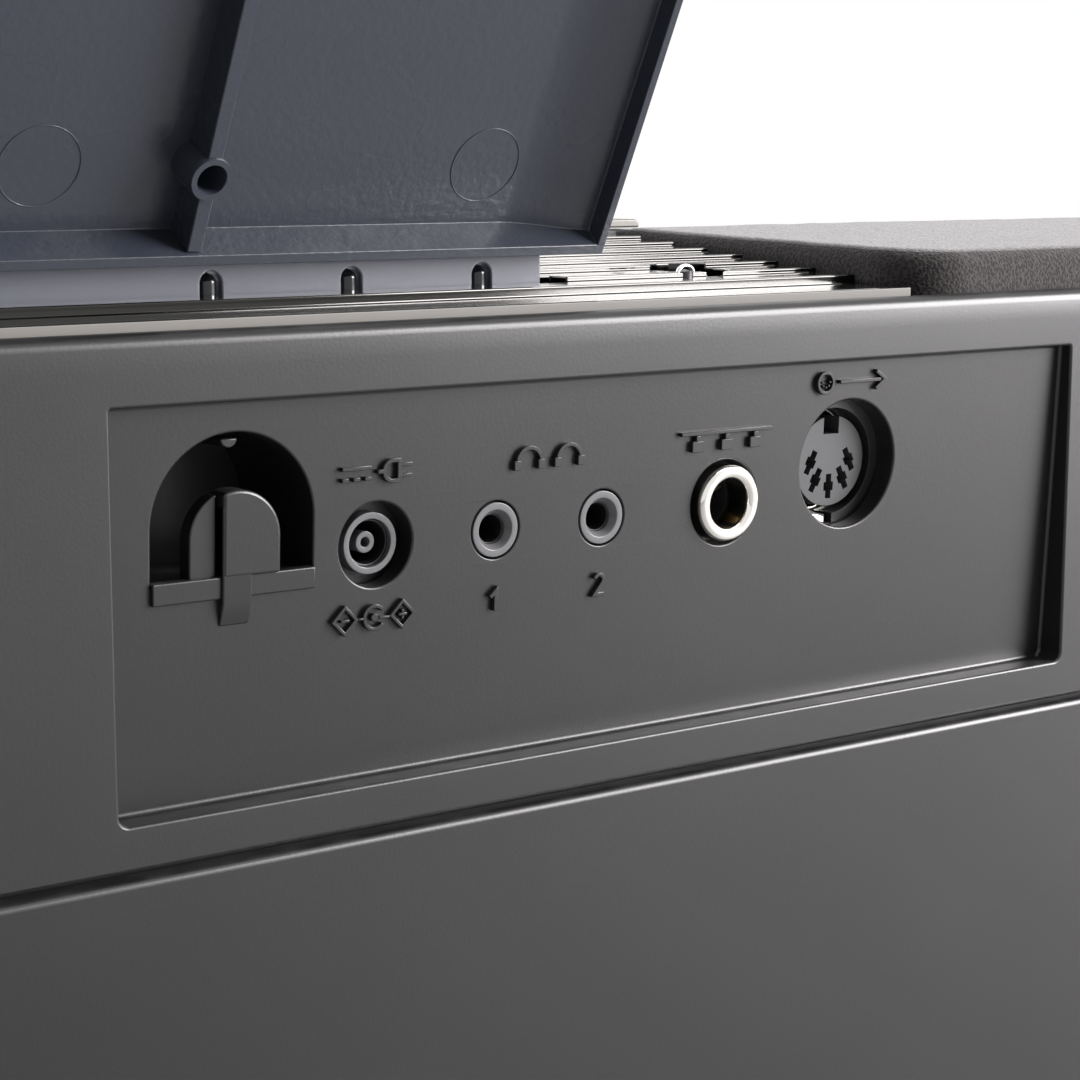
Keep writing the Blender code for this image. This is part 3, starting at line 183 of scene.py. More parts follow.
# Moulded plastic, the effect that most pieces share: a fine sand-blasted grain from the mould, soft
# clouds of lighter and darker resin, and a film of dust that collects on what faces up.
def make_grain_group():
    """Node group: object position in, colour variation, roughness and grain height out."""
    group = bpy.data.node_groups.new("moulded_grain", "ShaderNodeTree")
    face = group.interface
    for name, kind, value in (
        ("Colour", "NodeSocketColor", (0.1, 0.1, 0.1, 1.0)),
        ("Roughness", "NodeSocketFloat", 0.4),
        ("Grain Scale", "NodeSocketFloat", 2500.0),
        ("Cloud", "NodeSocketFloat", 0.08),
        ("Dust", "NodeSocketFloat", 0.1),
    ):
        socket = face.new_socket(name, in_out="INPUT", socket_type=kind)
        socket.default_value = value
    face.new_socket("Colour", in_out="OUTPUT", socket_type="NodeSocketColor")
    face.new_socket("Roughness", in_out="OUTPUT", socket_type="NodeSocketFloat")
    face.new_socket("Height", in_out="OUTPUT", socket_type="NodeSocketFloat")
    made = group.nodes
    link = group.links.new
    given = made.new("NodeGroupInput")
    place = made.new("ShaderNodeTexCoord")
    grain = made.new("ShaderNodeTexNoise")
    grain.inputs["Detail"].default_value = 2.0
    link(place.outputs["Object"], grain.inputs["Vector"])
    link(given.outputs["Grain Scale"], grain.inputs["Scale"])
    cloud = made.new("ShaderNodeTexNoise")
    cloud.inputs["Scale"].default_value = 14.0
    cloud.inputs["Detail"].default_value = 4.0
    link(place.outputs["Object"], cloud.inputs["Vector"])
    shade = made.new("ShaderNodeMapRange")
    link(cloud.outputs["Fac"], shade.inputs["Value"])
    shade.interpolation_type = "SMOOTHSTEP"
    shade.inputs["From Min"].default_value = 0.22
    shade.inputs["From Max"].default_value = 0.78
    shade.inputs["To Min"].default_value = -0.5
    shade.inputs["To Max"].default_value = 0.5
    spread = made.new("ShaderNodeMath")
    spread.operation = "MULTIPLY_ADD"
    link(shade.outputs["Result"], spread.inputs[0])
    link(given.outputs["Cloud"], spread.inputs[1])
    spread.inputs[2].default_value = 1.0
    tone = made.new("ShaderNodeVectorMath")
    tone.operation = "SCALE"
    link(given.outputs["Colour"], tone.inputs[0])
    link(spread.outputs[0], tone.inputs["Scale"])
    facing = made.new("ShaderNodeNewGeometry")
    split = made.new("ShaderNodeSeparateXYZ")
    link(facing.outputs["Normal"], split.inputs[0])
    upward = made.new("ShaderNodeMapRange")
    link(split.outputs["Z"], upward.inputs["Value"])
    upward.inputs["From Min"].default_value = 0.6
    upward.inputs["From Max"].default_value = 1.0
    specks = made.new("ShaderNodeTexNoise")
    specks.inputs["Scale"].default_value = 160.0
    specks.inputs["Detail"].default_value = 6.0
    link(place.outputs["Object"], specks.inputs["Vector"])
    speck_mask = made.new("ShaderNodeMapRange")
    link(specks.outputs["Fac"], speck_mask.inputs["Value"])
    speck_mask.inputs["From Min"].default_value = 0.45
    speck_mask.inputs["From Max"].default_value = 0.75
    dust = made.new("ShaderNodeMath")
    dust.operation = "MULTIPLY"
    link(upward.outputs["Result"], dust.inputs[0])
    link(speck_mask.outputs["Result"], dust.inputs[1])
    dusty = made.new("ShaderNodeMath")
    dusty.operation = "MULTIPLY"
    link(dust.outputs[0], dusty.inputs[0])
    link(given.outputs["Dust"], dusty.inputs[1])
    coat = made.new("ShaderNodeMix")
    coat.data_type = "RGBA"
    link(dusty.outputs[0], coat.inputs["Factor"])
    link(tone.outputs[0], coat.inputs["A"])
    coat.inputs["B"].default_value = (0.35, 0.34, 0.33, 1.0)
    sheen = made.new("ShaderNodeMath")
    sheen.operation = "MULTIPLY_ADD"
    link(shade.outputs["Result"], sheen.inputs[0])
    sheen.inputs[1].default_value = 0.08
    link(given.outputs["Roughness"], sheen.inputs[2])
    result = made.new("NodeGroupOutput")
    link(coat.outputs["Result"], result.inputs["Colour"])
    link(sheen.outputs[0], result.inputs["Roughness"])
    link(grain.outputs["Fac"], result.inputs["Height"])
    return group


grain_group = make_grain_group()


def moulded(
    name, colour, roughness, grain_scale=2500.0, grain_depth=0.00002, cloud=0.08, dust=0.1, metallic=0.0,
):
    """Material of a moulded plastic piece: grain group into colour, roughness and a bump."""
    material = new_material(name, colour, roughness, metallic)
    tree = material.node_tree
    shader = tree.nodes["Principled BSDF"]
    grain = tree.nodes.new("ShaderNodeGroup")
    grain.node_tree = grain_group
    grain.inputs["Colour"].default_value = (*colour, 1.0)
    grain.inputs["Roughness"].default_value = roughness
    grain.inputs["Grain Scale"].default_value = grain_scale
    grain.inputs["Cloud"].default_value = cloud
    grain.inputs["Dust"].default_value = dust
    bump = tree.nodes.new("ShaderNodeBump")
    bump.inputs["Distance"].default_value = grain_depth
    tree.links.new(grain.outputs["Colour"], shader.inputs["Base Color"])
    tree.links.new(grain.outputs["Roughness"], shader.inputs["Roughness"])
    tree.links.new(grain.outputs["Height"], bump.inputs["Height"])
    tree.links.new(bump.outputs["Normal"], shader.inputs["Normal"])
    return material


# Upper case, one moulding of dark grey ABS: back wall, rim, deck and the connector recess. The CAD copy
# gets rounded edges, and a window round the recess is cut out of it and filled with a finer surface,
# whose floor leans back towards its foot for the mould's draft.
case_grey = moulded("case_grey", (0.012, 0.0118, 0.012), 0.345, grain_depth=0.00001)
recess_width = 0.1523
recess_height = 0.046
recess_depth = 0.0029
recess_lean = 0.0475
lean_z = recess_z - 0.01895
wall = 0.003
floor_y = rear_y - recess_depth
panel_back_y = floor_y - wall


def merged_copy(node_name):
    """The CAD node's mesh as a bmesh with its vertices merged."""
    mesh_edit = bmesh.new()
    mesh_edit.from_mesh(nodes[node_name].data)
    bmesh.ops.remove_doubles(mesh_edit, verts=mesh_edit.verts, dist=1e-6)
    return mesh_edit


def flatten(mesh_edit):
    """Makes one face of each flat area."""
    bmesh.ops.dissolve_limit(
        mesh_edit,
        angle_limit=math.radians(0.5),
        use_dissolve_boundaries=True,
        delimit={"SEAM"},
        verts=mesh_edit.verts,
        edges=mesh_edit.edges,
    )


def add_piece(name, mesh, material, body, smooth=35.0):
    """Puts a mesh into the scene as a piece of a body, shaded smooth up to an angle."""
    mesh.shade_smooth()
    mesh.set_sharp_from_angle(angle=math.radians(smooth))
    mesh.materials.clear()
    mesh.materials.append(material)
    piece = bpy.data.objects.new(name, mesh)
    bpy.context.scene.collection.objects.link(piece)
    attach(piece, body)
    return piece


def round_edges(piece, width, segments=2, smooth=35.0):
    """Rounds every edge sharper than the angle, and keeps the flats' normals flat."""
    bevel = piece.modifiers.new("rounded_edges", "BEVEL")
    bevel.width = width
    bevel.segments = segments
    bevel.limit_method = "ANGLE"
    bevel.angle_limit = math.radians(smooth)
    weigh = piece.modifiers.new("flat_normals", "WEIGHTED_NORMAL")
    weigh.keep_sharp = True
    weigh.weight = 100


def softened(node_name, material, width, segments=2):
    """Stands for a CAD node with a copy whose edges are rounded."""
    mesh_edit = merged_copy(node_name)
    flatten(mesh_edit)
    mesh = bpy.data.meshes.new(node_name + "_soft")
    mesh_edit.to_mesh(mesh)
    mesh_edit.free()
    piece = add_piece(node_name + "_soft", mesh, material, nodes[node_name]["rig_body"])
    round_edges(piece, width, segments)
    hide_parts(node_name)
    return piece


def arc(centre, radius, start, end, count):
    """Points of an arc, centre + radius * (cos t, sin t), with t in degrees from start to end."""
    t = np.radians(np.linspace(start, end, count))
    return np.column_stack((centre[0] + radius * np.cos(t), centre[1] + radius * np.sin(t)))


def offset(outline, distance):
    """A closed outline moved outwards: each point along the mean of its two sides' normals, mitred."""
    ahead = np.roll(outline, -1, axis=0) - outline
    ahead /= np.linalg.norm(ahead, axis=1)[:, None]
    side = np.column_stack((ahead[:, 1], -ahead[:, 0]))
    behind = np.roll(side, 1, axis=0)
    mitre = (side + behind) / (1 + (side * behind).sum(axis=1))[:, None]
    return outline + distance * mitre


def carried(outline, profile):
    """A profile of (offset, y) pairs carried round a closed outline of (x, z) points: (points, faces)."""
    rings = [offset(outline, a) for a, _ in profile]
    points = np.array([[(x, y, z) for x, z in ring] for ring, (_, y) in zip(rings, profile)]).reshape(-1, 3)
    count = len(outline)
    i, j = np.meshgrid(np.arange(count), np.arange(len(profile) - 1))
    here = (j * count + i).ravel()
    there = (j * count + (i + 1) % count).ravel()
    faces = np.column_stack((here, here + count, there + count, there))
    return points, faces


def flat_face(outlines, y):
    """Flat area at depth y inside the first outline and outside the others: (points, faces) facing +Y."""
    flat = [[Vector((x, z, 0)) for x, z in outline] for outline in outlines]
    corners = np.vstack(outlines)
    faces = np.array(tessellate_polygon(flat))
    a, b, c = (corners[faces[:, k]] for k in range(3))
    turn = (b[:, 0] - a[:, 0]) * (c[:, 1] - a[:, 1]) - (b[:, 1] - a[:, 1]) * (c[:, 0] - a[:, 0])
    faces[turn > 0] = faces[turn > 0][:, ::-1]
    points = np.column_stack((corners[:, 0], np.full(len(corners), y), corners[:, 1]))
    return points, faces[np.abs(turn) > 1e-14]


def round_hole(spot, radius, count=64):
    """Outline of a round hole at a connector's place (u, v)."""
    return arc((recess_x - spot[0], recess_z + spot[1]), radius, 0, 360 * (1 - 1 / count), count)


def leaning(surfaces, front=1.0, back=-1.0):
    """Shears (points, faces) surfaces with the recess floor: y += lean * (z - z0), from back to front."""
    sheared = []
    for points, faces in surfaces:
        points = np.array(points)
        moves = (points[:, 1] > back) & (points[:, 1] < front)
        points[:, 1] += np.where(moves, recess_lean * (points[:, 2] - lean_z), 0.0)
        sheared.append((points, faces))
    return sheared


dc_spot = (0.03553, -0.01821)
phones_spots = ((0.05276, -0.01801), (0.06911, -0.01791))
damper_spot = (0.08939, -0.01771)
din_spot = (0.1112, -0.01423)
hook_spot = (0.01642, -0.0141)
hook_radius = 0.01045
hook_x = recess_x - hook_spot[0]
hook_z = recess_z + hook_spot[1]
hook_foot_z = recess_z - 0.0203
arch = arc((hook_x, hook_z), hook_radius, 0, 180, 40)
hook_hole = np.vstack(((hook_x + hook_radius, hook_foot_z), arch, (hook_x - hook_radius, hook_foot_z)))

left, right = recess_x - recess_width, recess_x
low, high = recess_z - recess_height, recess_z
corner = 0.0013
tight = 0.0003
mouth = np.vstack((
    arc((left + corner, low + corner), corner, 180, 270, 9),
    arc((right - corner, low + corner), corner, 270, 360, 9),
    arc((right - tight, high - tight), tight, 0, 90, 5),
    arc((left + tight, high - tight), tight, 90, 180, 5),
))
edge = 0.0004
foot = 0.0005
lip = [(a, b + rear_y - edge) for a, b in arc((edge, 0), edge, 90, 180, 6)]
heel = [(a, b + floor_y + foot) for a, b in arc((-foot, 0), foot, 0, -90, 6)]
holes = [
    (round_hole(dc_spot, 0.0051), 0.0003),
    (round_hole(phones_spots[0], 0.0036), 0.0002),
    (round_hole(phones_spots[1], 0.0036), 0.0002),
    (round_hole(damper_spot, 0.0056), 0.0003),
    (round_hole(din_spot, 0.0087), 0.0003),
    (hook_hole, 0.0003),
]
surfaces = [carried(mouth, lip + heel)]
surfaces.append(flat_face([offset(mouth, -foot)] + [offset(hole, radius) for hole, radius in holes], floor_y))
for hole, radius in holes:
    bore = [(a, b + floor_y - radius) for a, b in arc((radius, 0), radius, 90, 180, 5)]
    surfaces.append(carried(hole, bore + [(0.0, panel_back_y)]))
surfaces = leaning(surfaces, front=rear_y - 0.0009, back=panel_back_y + 0.0001)

case_edit = merged_copy("top_case")
window = ((left - 0.006, low - 0.003), (right + 0.006, high + 0.004))
for axis, value in ((0, window[0][0]), (0, window[1][0]), (2, window[0][1]), (2, window[1][1])):
    place = [0.0, 0.0, 0.0]
    place[axis] = value
    normal = [0, 0, 0]
    normal[axis] = 1
    wall_faces = [face for face in case_edit.faces if all(v.co.y > rear_y - 1e-5 for v in face.verts)]
    wall_edges = list({item for face in wall_faces for item in face.edges})
    wall_verts = list({item for face in wall_faces for item in face.verts})
    cut = bmesh.ops.bisect_plane(
        case_edit,
        geom=wall_faces + wall_edges + wall_verts,
        plane_co=place,
        plane_no=normal,
    )
    for item in cut["geom_cut"]:
        if isinstance(item, bmesh.types.BMEdge):
            item.seam = True
spent = []
for face in case_edit.faces:
    middle = face.calc_center_median()
    in_window = window[0][0] < middle.x < window[1][0] and window[0][1] < middle.z < window[1][1]
    in_recess = left - 1e-5 < middle.x < right + 1e-5 and low - 1e-5 < middle.z < high + 1e-5
    if (in_window and middle.y > rear_y - 1e-5) or (in_recess and middle.y > panel_back_y - 1e-5):
        spent.append(face)
bmesh.ops.delete(case_edit, geom=spent, context="FACES")
flatten(case_edit)
frame_outline = np.array([
    (window[0][0], window[0][1]), (window[1][0], window[0][1]),
    (window[1][0], window[1][1]), (window[0][0], window[1][1]),
])
surfaces.append(flat_face([frame_outline, offset(mouth, edge)], rear_y))
for points, faces in surfaces:
    row = [case_edit.verts.new(point) for point in points.tolist()]
    for face in faces.tolist():
        case_edit.faces.new([row[index] for index in face])
bmesh.ops.remove_doubles(case_edit, verts=case_edit.verts, dist=2e-6)
rims = [item for item in case_edit.edges if len(item.link_faces) == 1]
bmesh.ops.triangle_fill(case_edit, edges=rims, use_beauty=True, normal=(0, -1, 0))
case_mesh = bpy.data.meshes.new("upper_case")
case_edit.to_mesh(case_mesh)
case_edit.free()
upper_case = add_piece("upper_case", case_mesh, case_grey, "case")
round_edges(upper_case, 0.0003)
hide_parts("top_case")


# Cord hook, moulded in one with the recess floor: a tongue with a round top in the lower half of the arched
# opening, cut by a slit into a low leaf and a proud one, a cross bar over its foot and an upright stem.
def solid(outline, low, high, axis):
    """Closed solid of an outline drawn along an axis (0 for x, 1 for y) from low to high: (points, faces)."""
    count = len(outline)
    ends = []
    for value in (low, high):
        ends.append(np.insert(outline, axis, value, axis=1))
    points = np.vstack(ends)
    i = np.arange(count)
    after = (i + 1) % count
    sides = np.column_stack((i, after, after + count, i + count)).tolist()
    return points, sides + [list(range(count))[::-1], list(range(count, 2 * count))]


def joined(name, surfaces):
    """One mesh of several (points, faces) surfaces, merged where they meet, its normals outwards."""
    mesh_edit = bmesh.new()
    for points, faces in surfaces:
        row = [mesh_edit.verts.new(point) for point in np.asarray(points).tolist()]
        for face in faces:
            mesh_edit.faces.new([row[index] for index in face])
    bmesh.ops.remove_doubles(mesh_edit, verts=mesh_edit.verts, dist=1e-6)
    bmesh.ops.recalc_face_normals(mesh_edit, faces=mesh_edit.faces)
    mesh = bpy.data.meshes.new(name)
    mesh_edit.to_mesh(mesh)
    mesh_edit.free()
    return mesh


tongue_half = 0.0056
tongue_top = recess_z - 0.01005
stem_half = 0.0019
slit_x = hook_x + stem_half
slit_wide = 0.0003
slit_angle = math.degrees(math.acos(stem_half / tongue_half))
low_angle = math.degrees(math.acos((stem_half + slit_wide) / tongue_half))
low_leaf = np.vstack((
    (slit_x + slit_wide, hook_foot_z - 0.001),
    (hook_x + tongue_half, hook_foot_z - 0.001),
    arc((hook_x, tongue_top - tongue_half), tongue_half, 0, low_angle, 20),
))
proud_leaf = np.vstack((
    (hook_x - tongue_half, recess_z - 0.0200),
    (slit_x, recess_z - 0.0200),
    arc((hook_x, tongue_top - tongue_half), tongue_half, slit_angle, 180, 28),
))
bar = np.array([
    (hook_x - 0.0105, recess_z - 0.0224), (hook_x + 0.0105, recess_z - 0.0224),
    (hook_x + 0.0105, recess_z - 0.01985), (hook_x - 0.0105, recess_z - 0.01985),
])
stem = np.array([
    (floor_y - 0.0008, recess_z - 0.0256), (floor_y + 0.0002, recess_z - 0.0256),
    (floor_y + 0.0010, recess_z - 0.0229), (floor_y + 0.0010, recess_z - 0.0118),
    (floor_y - 0.0008, recess_z - 0.0118),
])
for name, shape, softness in (
    ("hook_low_leaf", solid(low_leaf, panel_back_y + 0.0006, floor_y - 0.0001, 1), 0.0005),
    ("hook_proud_leaf", solid(proud_leaf, panel_back_y + 0.0006, floor_y + 0.00106, 1), 0.0005),
    ("hook_bar", solid(bar, floor_y - 0.0010, floor_y + 0.0006, 1), 0.0002),
    ("hook_stem", solid(stem, hook_x - stem_half, slit_x, 0), 0.0002),
):
    piece = add_piece(name, joined(name, leaning([shape])), case_grey, "case")
    round_edges(piece, softness, 3)

pocket_depth = 0.014
pocket_outline = offset(hook_hole, 0.0004)
pocket = [
    flat_face([offset(pocket_outline, 0.0012), pocket_outline], panel_back_y - 0.0002),
    carried(pocket_outline, [(0.0, panel_back_y - 0.0002), (0.0, panel_back_y - pocket_depth)]),
    flat_face([pocket_outline], panel_back_y - pocket_depth),
    carried(pocket_outline, [
        (0.0012, panel_back_y - 0.0002), (0.0012, panel_back_y - pocket_depth - 0.0012),
    ]),
    flat_face([offset(pocket_outline, 0.0012)], panel_back_y - pocket_depth - 0.0012),
]
add_piece("hook_pocket", joined("hook_pocket", pocket), case_grey, "case")
nub = arc((hook_x, hook_z + hook_radius - 0.0008), 0.0011, 180, 360, 17)
nub = leaning([solid(nub, panel_back_y - pocket_depth - 0.0006, floor_y - 0.0012, 1)])
nub_piece = add_piece("hook_nub", joined("hook_nub", nub), case_grey, "case")
round_edges(nub_piece, 0.0002)


# Lower case, the tray that carries the keys and boards: the same dark grey ABS, closed from below with
# screws. Its top edge is the bright line under the seam.
softened("bottom_case", case_grey, 0.0009, 3)


# End blocks, the two cheeks that close the keyboard: moulded in the case's grey, clipped to both halves.
for node_name in ("end_block_left", "end_block_right"):
    softened(node_name, case_grey, 0.0008, 3)


# Stepped plate behind the crest: satin aluminium, eight flat lands that climb towards the player, with the
# slot for the music rest and a screw pocket at each end. It is rolled in one and lies in the case's tray.
def make_satin_metal(name, colour, roughness, upright_painted_shade):
    """Metal bright on what faces up, its upright faces painted dark as painted shade, with a faint haze of handling in
    the roughness.
    """
    material = new_material(name, colour, roughness, 1.0)
    tree = material.node_tree
    shader = tree.nodes["Principled BSDF"]
    place = tree.nodes.new("ShaderNodeTexCoord")
    marks = tree.nodes.new("ShaderNodeTexNoise")
    marks.inputs["Scale"].default_value = 9.0
    marks.inputs["Detail"].default_value = 5.0
    tree.links.new(place.outputs["Object"], marks.inputs["Vector"])
    haze = tree.nodes.new("ShaderNodeMapRange")
    tree.links.new(marks.outputs["Fac"], haze.inputs["Value"])
    haze.inputs["From Min"].default_value = 0.3
    haze.inputs["From Max"].default_value = 0.7
    haze.inputs["To Min"].default_value = roughness * 0.9
    haze.inputs["To Max"].default_value = roughness * 1.1
    tree.links.new(haze.outputs["Result"], shader.inputs["Roughness"])
    # Upright faces take the dark colour as painted shade; only faces that look up keep the bright metal.
    facing = tree.nodes.new("ShaderNodeNewGeometry")
    split = tree.nodes.new("ShaderNodeSeparateXYZ")
    tree.links.new(facing.outputs["Normal"], split.inputs[0])
    upward = tree.nodes.new("ShaderNodeMapRange")
    tree.links.new(split.outputs["Z"], upward.inputs["Value"])
    upward.inputs["From Min"].default_value = 0.93
    upward.inputs["From Max"].default_value = 0.995
    tones = tree.nodes.new("ShaderNodeMix")
    tones.data_type = "RGBA"
    tree.links.new(upward.outputs["Result"], tones.inputs["Factor"])
    tones.inputs["A"].default_value = (*upright_painted_shade, 1.0)
    tones.inputs["B"].default_value = (*colour, 1.0)
    tree.links.new(tones.outputs["Result"], shader.inputs["Base Color"])
    return material


# The risers and rounded noses get the dark colour as painted shade between the bright lands.
silver = make_satin_metal("satin_silver", (0.58, 0.58, 0.575), 0.09, (0.055, 0.054, 0.052))
plate_edge = moulded("plate_edge", (0.17, 0.162, 0.148), 0.55, 900.0, 0.000002, cloud=0.02, dust=0.0)
plate_edit = merged_copy("stepped_plate")
slot_floor = recess_z + 0.0056
peg_w = 0.02255
peg_places = []
for sign in (-1, 1):
    for number in range(3):
        peg_places.append(sign * (0.2208 - 0.0094 - 0.0197 * number))
spent = []
for face in plate_edit.faces:
    middle = face.calc_center_median()
    near_peg = min(math.hypot(middle.x - x, middle.y - rear_y + 0.0224) for x in peg_places) < 0.00095
    if near_peg and middle.z > min(v.co.z for v in plate_edit.verts) + 0.0008 and len(face.verts) < 20:
        spent.append(face)
bmesh.ops.delete(plate_edit, geom=spent, context="FACES")
bmesh.ops.holes_fill(plate_edit, edges=[item for item in plate_edit.edges if len(item.link_faces) == 1])
flatten(plate_edit)
plate_mesh = bpy.data.meshes.new("silver_plate")
plate_edit.to_mesh(plate_mesh)
plate_edit.free()
silver_plate = add_piece("silver_plate", plate_mesh, silver, "case")
silver_plate.data.materials.append(plate_edge)
for face in silver_plate.data.polygons:
    face.material_index = 1 if face.center.y > rear_y - 0.0031 else 0
silver_plate.data.shade_flat()
plate_edges = silver_plate.modifiers.new("rounded_edges", "BEVEL")
plate_edges.width = 0.0002
plate_edges.segments = 3
plate_edges.angle_limit = math.radians(35.0)
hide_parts("stepped_plate")


# Pegs in the slot: six glossy black pins with round heads, which the notches of the rest's foot straddle.
# Pressed into the plate from below.
peg_black = new_material("peg_black", (0.010, 0.011, 0.016), 0.14)


def turned_up(x, y, profile, count=32):
    """Surface turned about an upright axis from a closed (radius, z) profile: (points, faces)."""
    t = np.linspace(0, 2 * math.pi, count, endpoint=False)
    rings = []
    for radius, z in profile:
        rings.append(np.column_stack((x + radius * np.cos(t), y + radius * np.sin(t), np.full(count, z))))
    i, j = np.meshgrid(np.arange(count), np.arange(len(profile)))
    ahead = (j + 1) % len(profile)
    faces = np.column_stack((
        (j * count + i).ravel(), (ahead * count + i).ravel(),
        (ahead * count + (i + 1) % count).ravel(), (j * count + (i + 1) % count).ravel(),
    ))
    return np.vstack(rings), faces.tolist()


peg_radius = 0.00112
dome = [(a, b + recess_z + 0.0129 - peg_radius) for a, b in arc((0, 0), peg_radius, 90, 0, 10)]
peg_outline = dome + [(peg_radius, slot_floor - 0.0004), (0.0, slot_floor - 0.0004)]
pegs = [turned_up(x, rear_y - peg_w, peg_outline) for x in peg_places]
add_piece("rest_pegs", joined("rest_pegs", pegs), peg_black, "case")


# Plate clips: a bright ring of wire with a dark stud through it at the near side of each pocket. They hold
# the plate down in its tray.
screw_bright = new_material("screw_bright", (0.82, 0.81, 0.80), 0.12, 1.0)
screw_dark = new_material("screw_dark", (0.02, 0.016, 0.018), 0.4)


def clip_ring(x, y, z, radius, thick, squash):
    """Upright ring: (R + r cos b) cos a across and squash * (R + r cos b) sin a up, r sin b along y."""
    a, b = np.meshgrid(np.radians(np.arange(0, 360, 9)), np.radians(np.arange(0, 360, 30)), indexing="ij")
    out = radius + thick * np.cos(b)
    points = np.column_stack((
        (x + out * np.cos(a)).ravel(), (y + thick * np.sin(b)).ravel(),
        (z + squash * out * np.sin(a)).ravel(),
    ))
    i, j = np.meshgrid(np.arange(40), np.arange(12), indexing="ij")
    far, side = (i + 1) % 40, (j + 1) % 12
    faces = np.column_stack((
        (i * 12 + j).ravel(), (far * 12 + j).ravel(), (far * 12 + side).ravel(), (i * 12 + side).ravel(),
    ))
    return points, faces.tolist()


rings, hubs = [], []
for sign in (-1, 1):
    x, y, z = sign * 0.2461, rear_y - 0.0222, recess_z + 0.0108
    rings.append(clip_ring(x, y, z, 0.00138, 0.00030, 0.8))
    hub = [(0.0012, z - 0.0030), (0.0012, z + 0.0003), (0.0, z + 0.0006), (0.0, z - 0.0030)]
    hubs.append(turned_up(x, y - 0.0002, hub))
add_piece("plate_clips", joined("plate_clips", rings), screw_bright, "case")
add_piece("plate_hubs", joined("plate_hubs", hubs), screw_dark, "case")


# Front strip: a low satin strip of champagne-grey aluminium on the crest in front of the plate. Glued on.
strip_grey = moulded(
    "strip_grey", (0.17, 0.163, 0.148), 0.45, 900.0, 0.000002, cloud=0.02, dust=0.02, metallic=0.4,
)
strip_piece = softened("front_strip", strip_grey, 0.0006, 3)


# Foam covers on both sides of the plate: slabs of open-celled grey foam over the speakers, cut with soft
# edges, slightly uneven, and glued into the case's trays.
foam_radius = 0.010
foam_small = 0.003
foam_edge = 0.0025


def make_foam_material():
    """Foam: dark cells between lighter walls, a soft sheen, and a top painted lighter as painted light from above."""
    material = new_material("foam", (0.05, 0.05, 0.052), 0.95)
    tree = material.node_tree
    link = tree.links.new
    shader = tree.nodes["Principled BSDF"]
    place = tree.nodes.new("ShaderNodeTexCoord")
    cells = tree.nodes.new("ShaderNodeTexVoronoi")
    cells.inputs["Scale"].default_value = 2100.0
    link(place.outputs["Object"], cells.inputs["Vector"])
    fibres = tree.nodes.new("ShaderNodeTexNoise")
    fibres.inputs["Scale"].default_value = 2000.0
    fibres.inputs["Detail"].default_value = 4.0
    fibres.inputs["Roughness"].default_value = 0.7
    link(place.outputs["Object"], fibres.inputs["Vector"])
    mixed = tree.nodes.new("ShaderNodeMath")
    mixed.operation = "MULTIPLY"
    link(cells.outputs["Distance"], mixed.inputs[0])
    link(fibres.outputs["Fac"], mixed.inputs[1])
    tone = tree.nodes.new("ShaderNodeMapRange")
    link(mixed.outputs[0], tone.inputs["Value"])
    tone.inputs["From Min"].default_value = 0.13
    tone.inputs["From Max"].default_value = 0.36
    colour = tree.nodes.new("ShaderNodeMix")
    colour.data_type = "RGBA"
    link(tone.outputs["Result"], colour.inputs["Factor"])
    colour.inputs["A"].default_value = (0.003, 0.0024, 0.0028, 1.0)
    colour.inputs["B"].default_value = (0.040, 0.033, 0.032, 1.0)
    # Faces that look up get the lighter colours as painted light from above and behind; the sides keep the dark cells.
    facing = tree.nodes.new("ShaderNodeNewGeometry")
    split = tree.nodes.new("ShaderNodeSeparateXYZ")
    link(facing.outputs["Normal"], split.inputs[0])
    upward = tree.nodes.new("ShaderNodeMapRange")
    link(split.outputs["Z"], upward.inputs["Value"])
    upward.inputs["From Min"].default_value = 0.80
    upward.inputs["From Max"].default_value = 0.985
    upward.inputs["To Max"].default_value = 0.85
    painted_lit_top = tree.nodes.new("ShaderNodeMix")
    painted_lit_top.data_type = "RGBA"
    link(tone.outputs["Result"], painted_lit_top.inputs["Factor"])
    painted_lit_top.inputs["A"].default_value = (0.20, 0.195, 0.195, 1.0)
    painted_lit_top.inputs["B"].default_value = (0.40, 0.39, 0.39, 1.0)
    both = tree.nodes.new("ShaderNodeMix")
    both.data_type = "RGBA"
    link(upward.outputs["Result"], both.inputs["Factor"])
    link(colour.outputs["Result"], both.inputs["A"])
    link(painted_lit_top.outputs["Result"], both.inputs["B"])
    link(both.outputs["Result"], shader.inputs["Base Color"])
    bump = tree.nodes.new("ShaderNodeBump")
    bump.inputs["Distance"].default_value = 0.00022
    link(mixed.outputs[0], bump.inputs["Height"])
    link(bump.outputs["Normal"], shader.inputs["Normal"])
    shader.inputs["Sheen Weight"].default_value = 0.25
    shader.inputs["Sheen Roughness"].default_value = 0.5
    shader.inputs["Sheen Tint"].default_value = (0.95, 0.93, 0.93, 1.0)
    return material


def lumps(points, size):
    """Value noise from -1 to 1: random numbers at the corners of a cubic grid of the size, blended."""
    place = points / size
    base = np.floor(place).astype(np.int64)
    blend = place - base
    blend = blend * blend * (3 - 2 * blend)
    total = np.zeros(len(points))
    for corner in range(8):
        step = np.array((corner & 1, corner >> 1 & 1, corner >> 2 & 1))
        key = ((base + step) * np.array((73856093, 19349663, 83492791))).sum(axis=1)
        key = (key ^ (key >> 13)) * 1274126177 & 0xFFFFFFFF
        weight = np.prod(np.where(step == 1, blend, 1 - blend), axis=1)
        total += weight * ((key >> 8 & 0xFFFF) / 32767.5 - 1)
    return total


def foam_lines(low, high, pitch):
    """Grid lines across the slab, close together over the rounded edges and even between them."""
    edge_lines = foam_edge * (1 - np.cos(np.radians(np.linspace(0, 90, 6))))
    middle = np.linspace(low + foam_edge, high - foam_edge, max(2, round((high - low) / pitch)))
    return np.concatenate((low + edge_lines[:-1], middle, (high - edge_lines[:-1])[::-1]))


